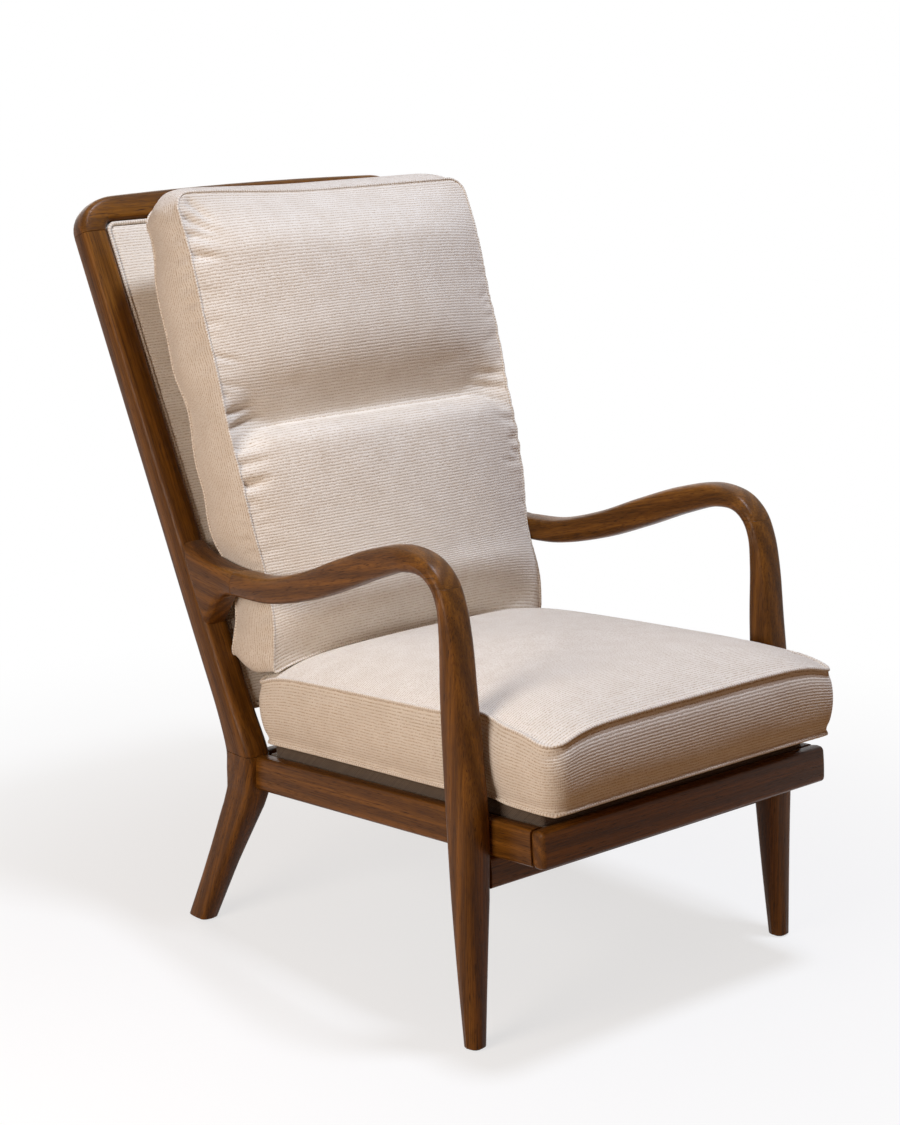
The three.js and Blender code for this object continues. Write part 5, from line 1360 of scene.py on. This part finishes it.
# %% Materials of the inner pieces
def beech_material():
    # Beech, planed and left raw: pale pink-brown, with soft streaks about 4 mm wide and 30 mm long
    beech, shader = new_material("beech_planed", "#b98f62", 0.62)
    place = add(beech, "ShaderNodeTexCoord").outputs["Object"]
    long = add(beech, "ShaderNodeMapping", Vector=place, Scale=(30, 260, 260))
    fibre = add(beech, "ShaderNodeTexNoise", Vector=long.outputs[0], Scale=1.0, Detail=3.0)
    ramp = add(beech, "ShaderNodeValToRGB", Fac=fibre.outputs["Fac"])
    ramp.color_ramp.elements[0].color = linear("#9c7248")
    ramp.color_ramp.elements[1].color = linear("#c9a076")
    plug(beech, ramp.outputs["Color"], shader.inputs["Base Color"])
    bump = add(beech, "ShaderNodeBump", Strength=0.3, Distance=0.0002, Height=fibre.outputs["Fac"])
    plug(beech, bump.outputs[0], shader.inputs["Normal"])
    return beech


def webbing_material():
    # Elastic webbing: black rubber threads in a brown polyester weave, 4 mm apart one way and 3 mm the other
    web, shader = new_material("elastic_webbing", "#4b4036", 0.8)
    place = add(web, "ShaderNodeTexCoord").outputs["Object"]
    ribs = add(web, "ShaderNodeTexWave", {"bands_direction": "X"}, Vector=place, Scale=WAVE / 0.004)
    cross = add(web, "ShaderNodeTexWave", {"bands_direction": "Y"}, Vector=place, Scale=WAVE / 0.003)
    both = add(web, "ShaderNodeMath", MULTIPLY, i0=ribs.outputs["Fac"], i1=cross.outputs["Fac"])
    tone = add(web, "ShaderNodeMix", MIX_COLOUR, i0=both.outputs[0], i6=linear("#2f2822"),
               i7=linear("#6b5d4e"))
    plug(web, tone.outputs[2], shader.inputs["Base Color"])
    bump = add(web, "ShaderNodeBump", Strength=0.6, Distance=0.0004, Height=both.outputs[0])
    plug(web, bump.outputs[0], shader.inputs["Normal"])
    return web


def steel_material():
    # Zinc-plated steel: grey metal with cloudy patches in its gloss, about 5 mm across
    steel, shader = new_material("steel_zinc_plated", "#b9bab8", 0.34, 1.0)
    place = add(steel, "ShaderNodeTexCoord").outputs["Object"]
    cloud = add(steel, "ShaderNodeTexNoise", Vector=place, Scale=200.0, Detail=2.0)
    rough = add(steel, "ShaderNodeMapRange", Value=cloud.outputs["Fac"], To_Min=0.25, To_Max=0.5)
    plug(steel, rough.outputs[0], shader.inputs["Roughness"])
    return steel


def glide_material():
    # Moulded polypropylene: brown, satin, with a faint spark-eroded texture 1 mm across
    glide, shader = new_material("glide_polypropylene", "#3b2a21", 0.45)
    place = add(glide, "ShaderNodeTexCoord").outputs["Object"]
    grit = add(glide, "ShaderNodeTexNoise", Vector=place, Scale=900.0, Detail=1.0)
    bump = add(glide, "ShaderNodeBump", Strength=0.3, Distance=0.0001, Height=grit.outputs["Fac"])
    plug(glide, bump.outputs[0], shader.inputs["Normal"])
    rough = add(glide, "ShaderNodeMapRange", Value=grit.outputs["Fac"], To_Min=0.4, To_Max=0.55)
    plug(glide, rough.outputs[0], shader.inputs["Roughness"])
    return glide


beech = beech_material()
finishes = (("dowel", beech), ("bar", beech), ("stile", beech), ("corner_block", beech),
            ("_web_", webbing_material()), ("bolt", steel_material()), ("glide", glide_material()))
for name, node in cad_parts.items():
    finish = next((made for word, made in finishes if word in name), None)
    if finish is not None:
        if not node.material_slots:
            node.data.materials.append(finish)
        for socket in node.material_slots:
            socket.material = finish
print("inner materials set")

# %% [markdown]
# ## Floor and light
# Three soft lamps: the key hangs high and a little in front, because in the photograph the tops are
# brightest and the cushion's shadow falls down the panel. The fill is a near, slightly warm lamp low on the
# camera's left, which lights the boxing and the legs' left faces. A third, weak one behind keeps the back
# from going black. A dim warm world does the rest, as light that has crossed a room does.
# The background is white because the world and the floor are white to the camera's own rays, and not
# because more light falls on the chair. Near the chair the floor keeps some of its own shading, so that the
# shadow shows.

# %% World and floor
def seen_by_camera(owner):
    """1 for the camera's own rays and for those that a gloss or a clear thing passes on, and 0 for all
    others."""
    rays = add(owner, "ShaderNodeLightPath").outputs
    passed = add(owner, "ShaderNodeMath", MAXIMUM, i0=rays["Is Glossy Ray"], i1=rays["Is Transmission Ray"])
    return add(owner, "ShaderNodeMath", MAXIMUM, i0=rays["Is Camera Ray"], i1=passed.outputs[0]).outputs[0]


world = bpy.data.worlds.new("studio")
bpy.context.scene.world = world
world.use_nodes = True
background = world.node_tree.nodes["Background"]
seen = seen_by_camera(world)
strength = add(world, "ShaderNodeMapRange", Value=seen, To_Min=0.12, To_Max=1.0)
plug(world, strength.outputs[0], background.inputs["Strength"])
tint = add(world, "ShaderNodeMix", MIX_COLOUR, i0=seen, i6=linear("#ffa664"), i7=(1, 1, 1, 1))
plug(world, tint.outputs[2], background.inputs["Color"])

floor_mesh = bpy.data.meshes.new("floor")
floor_mesh.from_pydata([(-9, -9, 0), (9, -9, 0), (9, 9, 0), (-9, 9, 0)], [], [(0, 1, 2, 3)])
floor = bpy.data.objects.new("floor", floor_mesh)
bpy.context.scene.collection.objects.link(floor)
paint, shader = new_material("floor_matt_paint", "#f2f0ee", 0.85)
place = add(paint, "ShaderNodeTexCoord").outputs["Object"]
far = add(paint, "ShaderNodeVectorMath", {"operation": "LENGTH"}, i0=place)
fade = add(paint, "ShaderNodeMapRange", {"interpolation_type": "SMOOTHSTEP"}, Value=far.outputs["Value"],
           From_Min=0.3, From_Max=1.6, To_Min=0.68, To_Max=1.0)
seen = seen_by_camera(paint)
amount = add(paint, "ShaderNodeMath", MULTIPLY, i0=seen, i1=fade.outputs[0])
paler = add(paint, "ShaderNodeMix", MIX_COLOUR, i0=seen, i6=linear("#94724a"), i7=linear("#f4f3f1"))
plug(paint, paler.outputs[2], shader.inputs["Base Color"])
glow = add(paint, "ShaderNodeEmission", Strength=1.0, Color=(1, 1, 1, 1))
mixed = add(paint, "ShaderNodeMixShader", i0=amount.outputs[0], i1=shader.outputs[0], i2=glow.outputs[0])
plug(paint, mixed.outputs[0], paint.node_tree.nodes["Material Output"].inputs["Surface"])
floor_mesh.materials.append(paint)
print("world and floor:", len(world.node_tree.nodes), "and", len(paint.node_tree.nodes), "nodes")


# %% Lamps
SEAT_HEIGHT = 0.55  # metres over the floor, where the lamps look


def lamp(name, way, far, size, watts, colour):
    """A round lamp at a distance from the seat along a direction, facing it."""
    data = bpy.data.lights.new(name, "AREA")
    data.shape, data.size, data.energy, data.color = "DISK", size, watts, linear(colour)[:3]
    light = bpy.data.objects.new(name, data)
    bpy.context.scene.collection.objects.link(light)
    way = Vector(way).normalized()
    light.location = Vector((0, 0, SEAT_HEIGHT)) + way * far
    light.rotation_mode = "QUATERNION"
    light.rotation_quaternion = (-way).to_track_quat("-Z", "Y")
    return light


key = lamp("key", (0.12, -0.23, 0.97), 3.4, 0.6, 106, "#e3eeff")
fill = lamp("fill", (-0.94, -0.20, 0.24), 2.0, 1.0, 22, "#fff4ea")
rear = lamp("rear", (0.35, 1.0, 0.40), 3.4, 1.8, 12, "#fff7ee")
bpy.context.scene.view_settings.view_transform = "Standard"
print("lamps:", key.data.energy, fill.data.energy, rear.data.energy, "W")
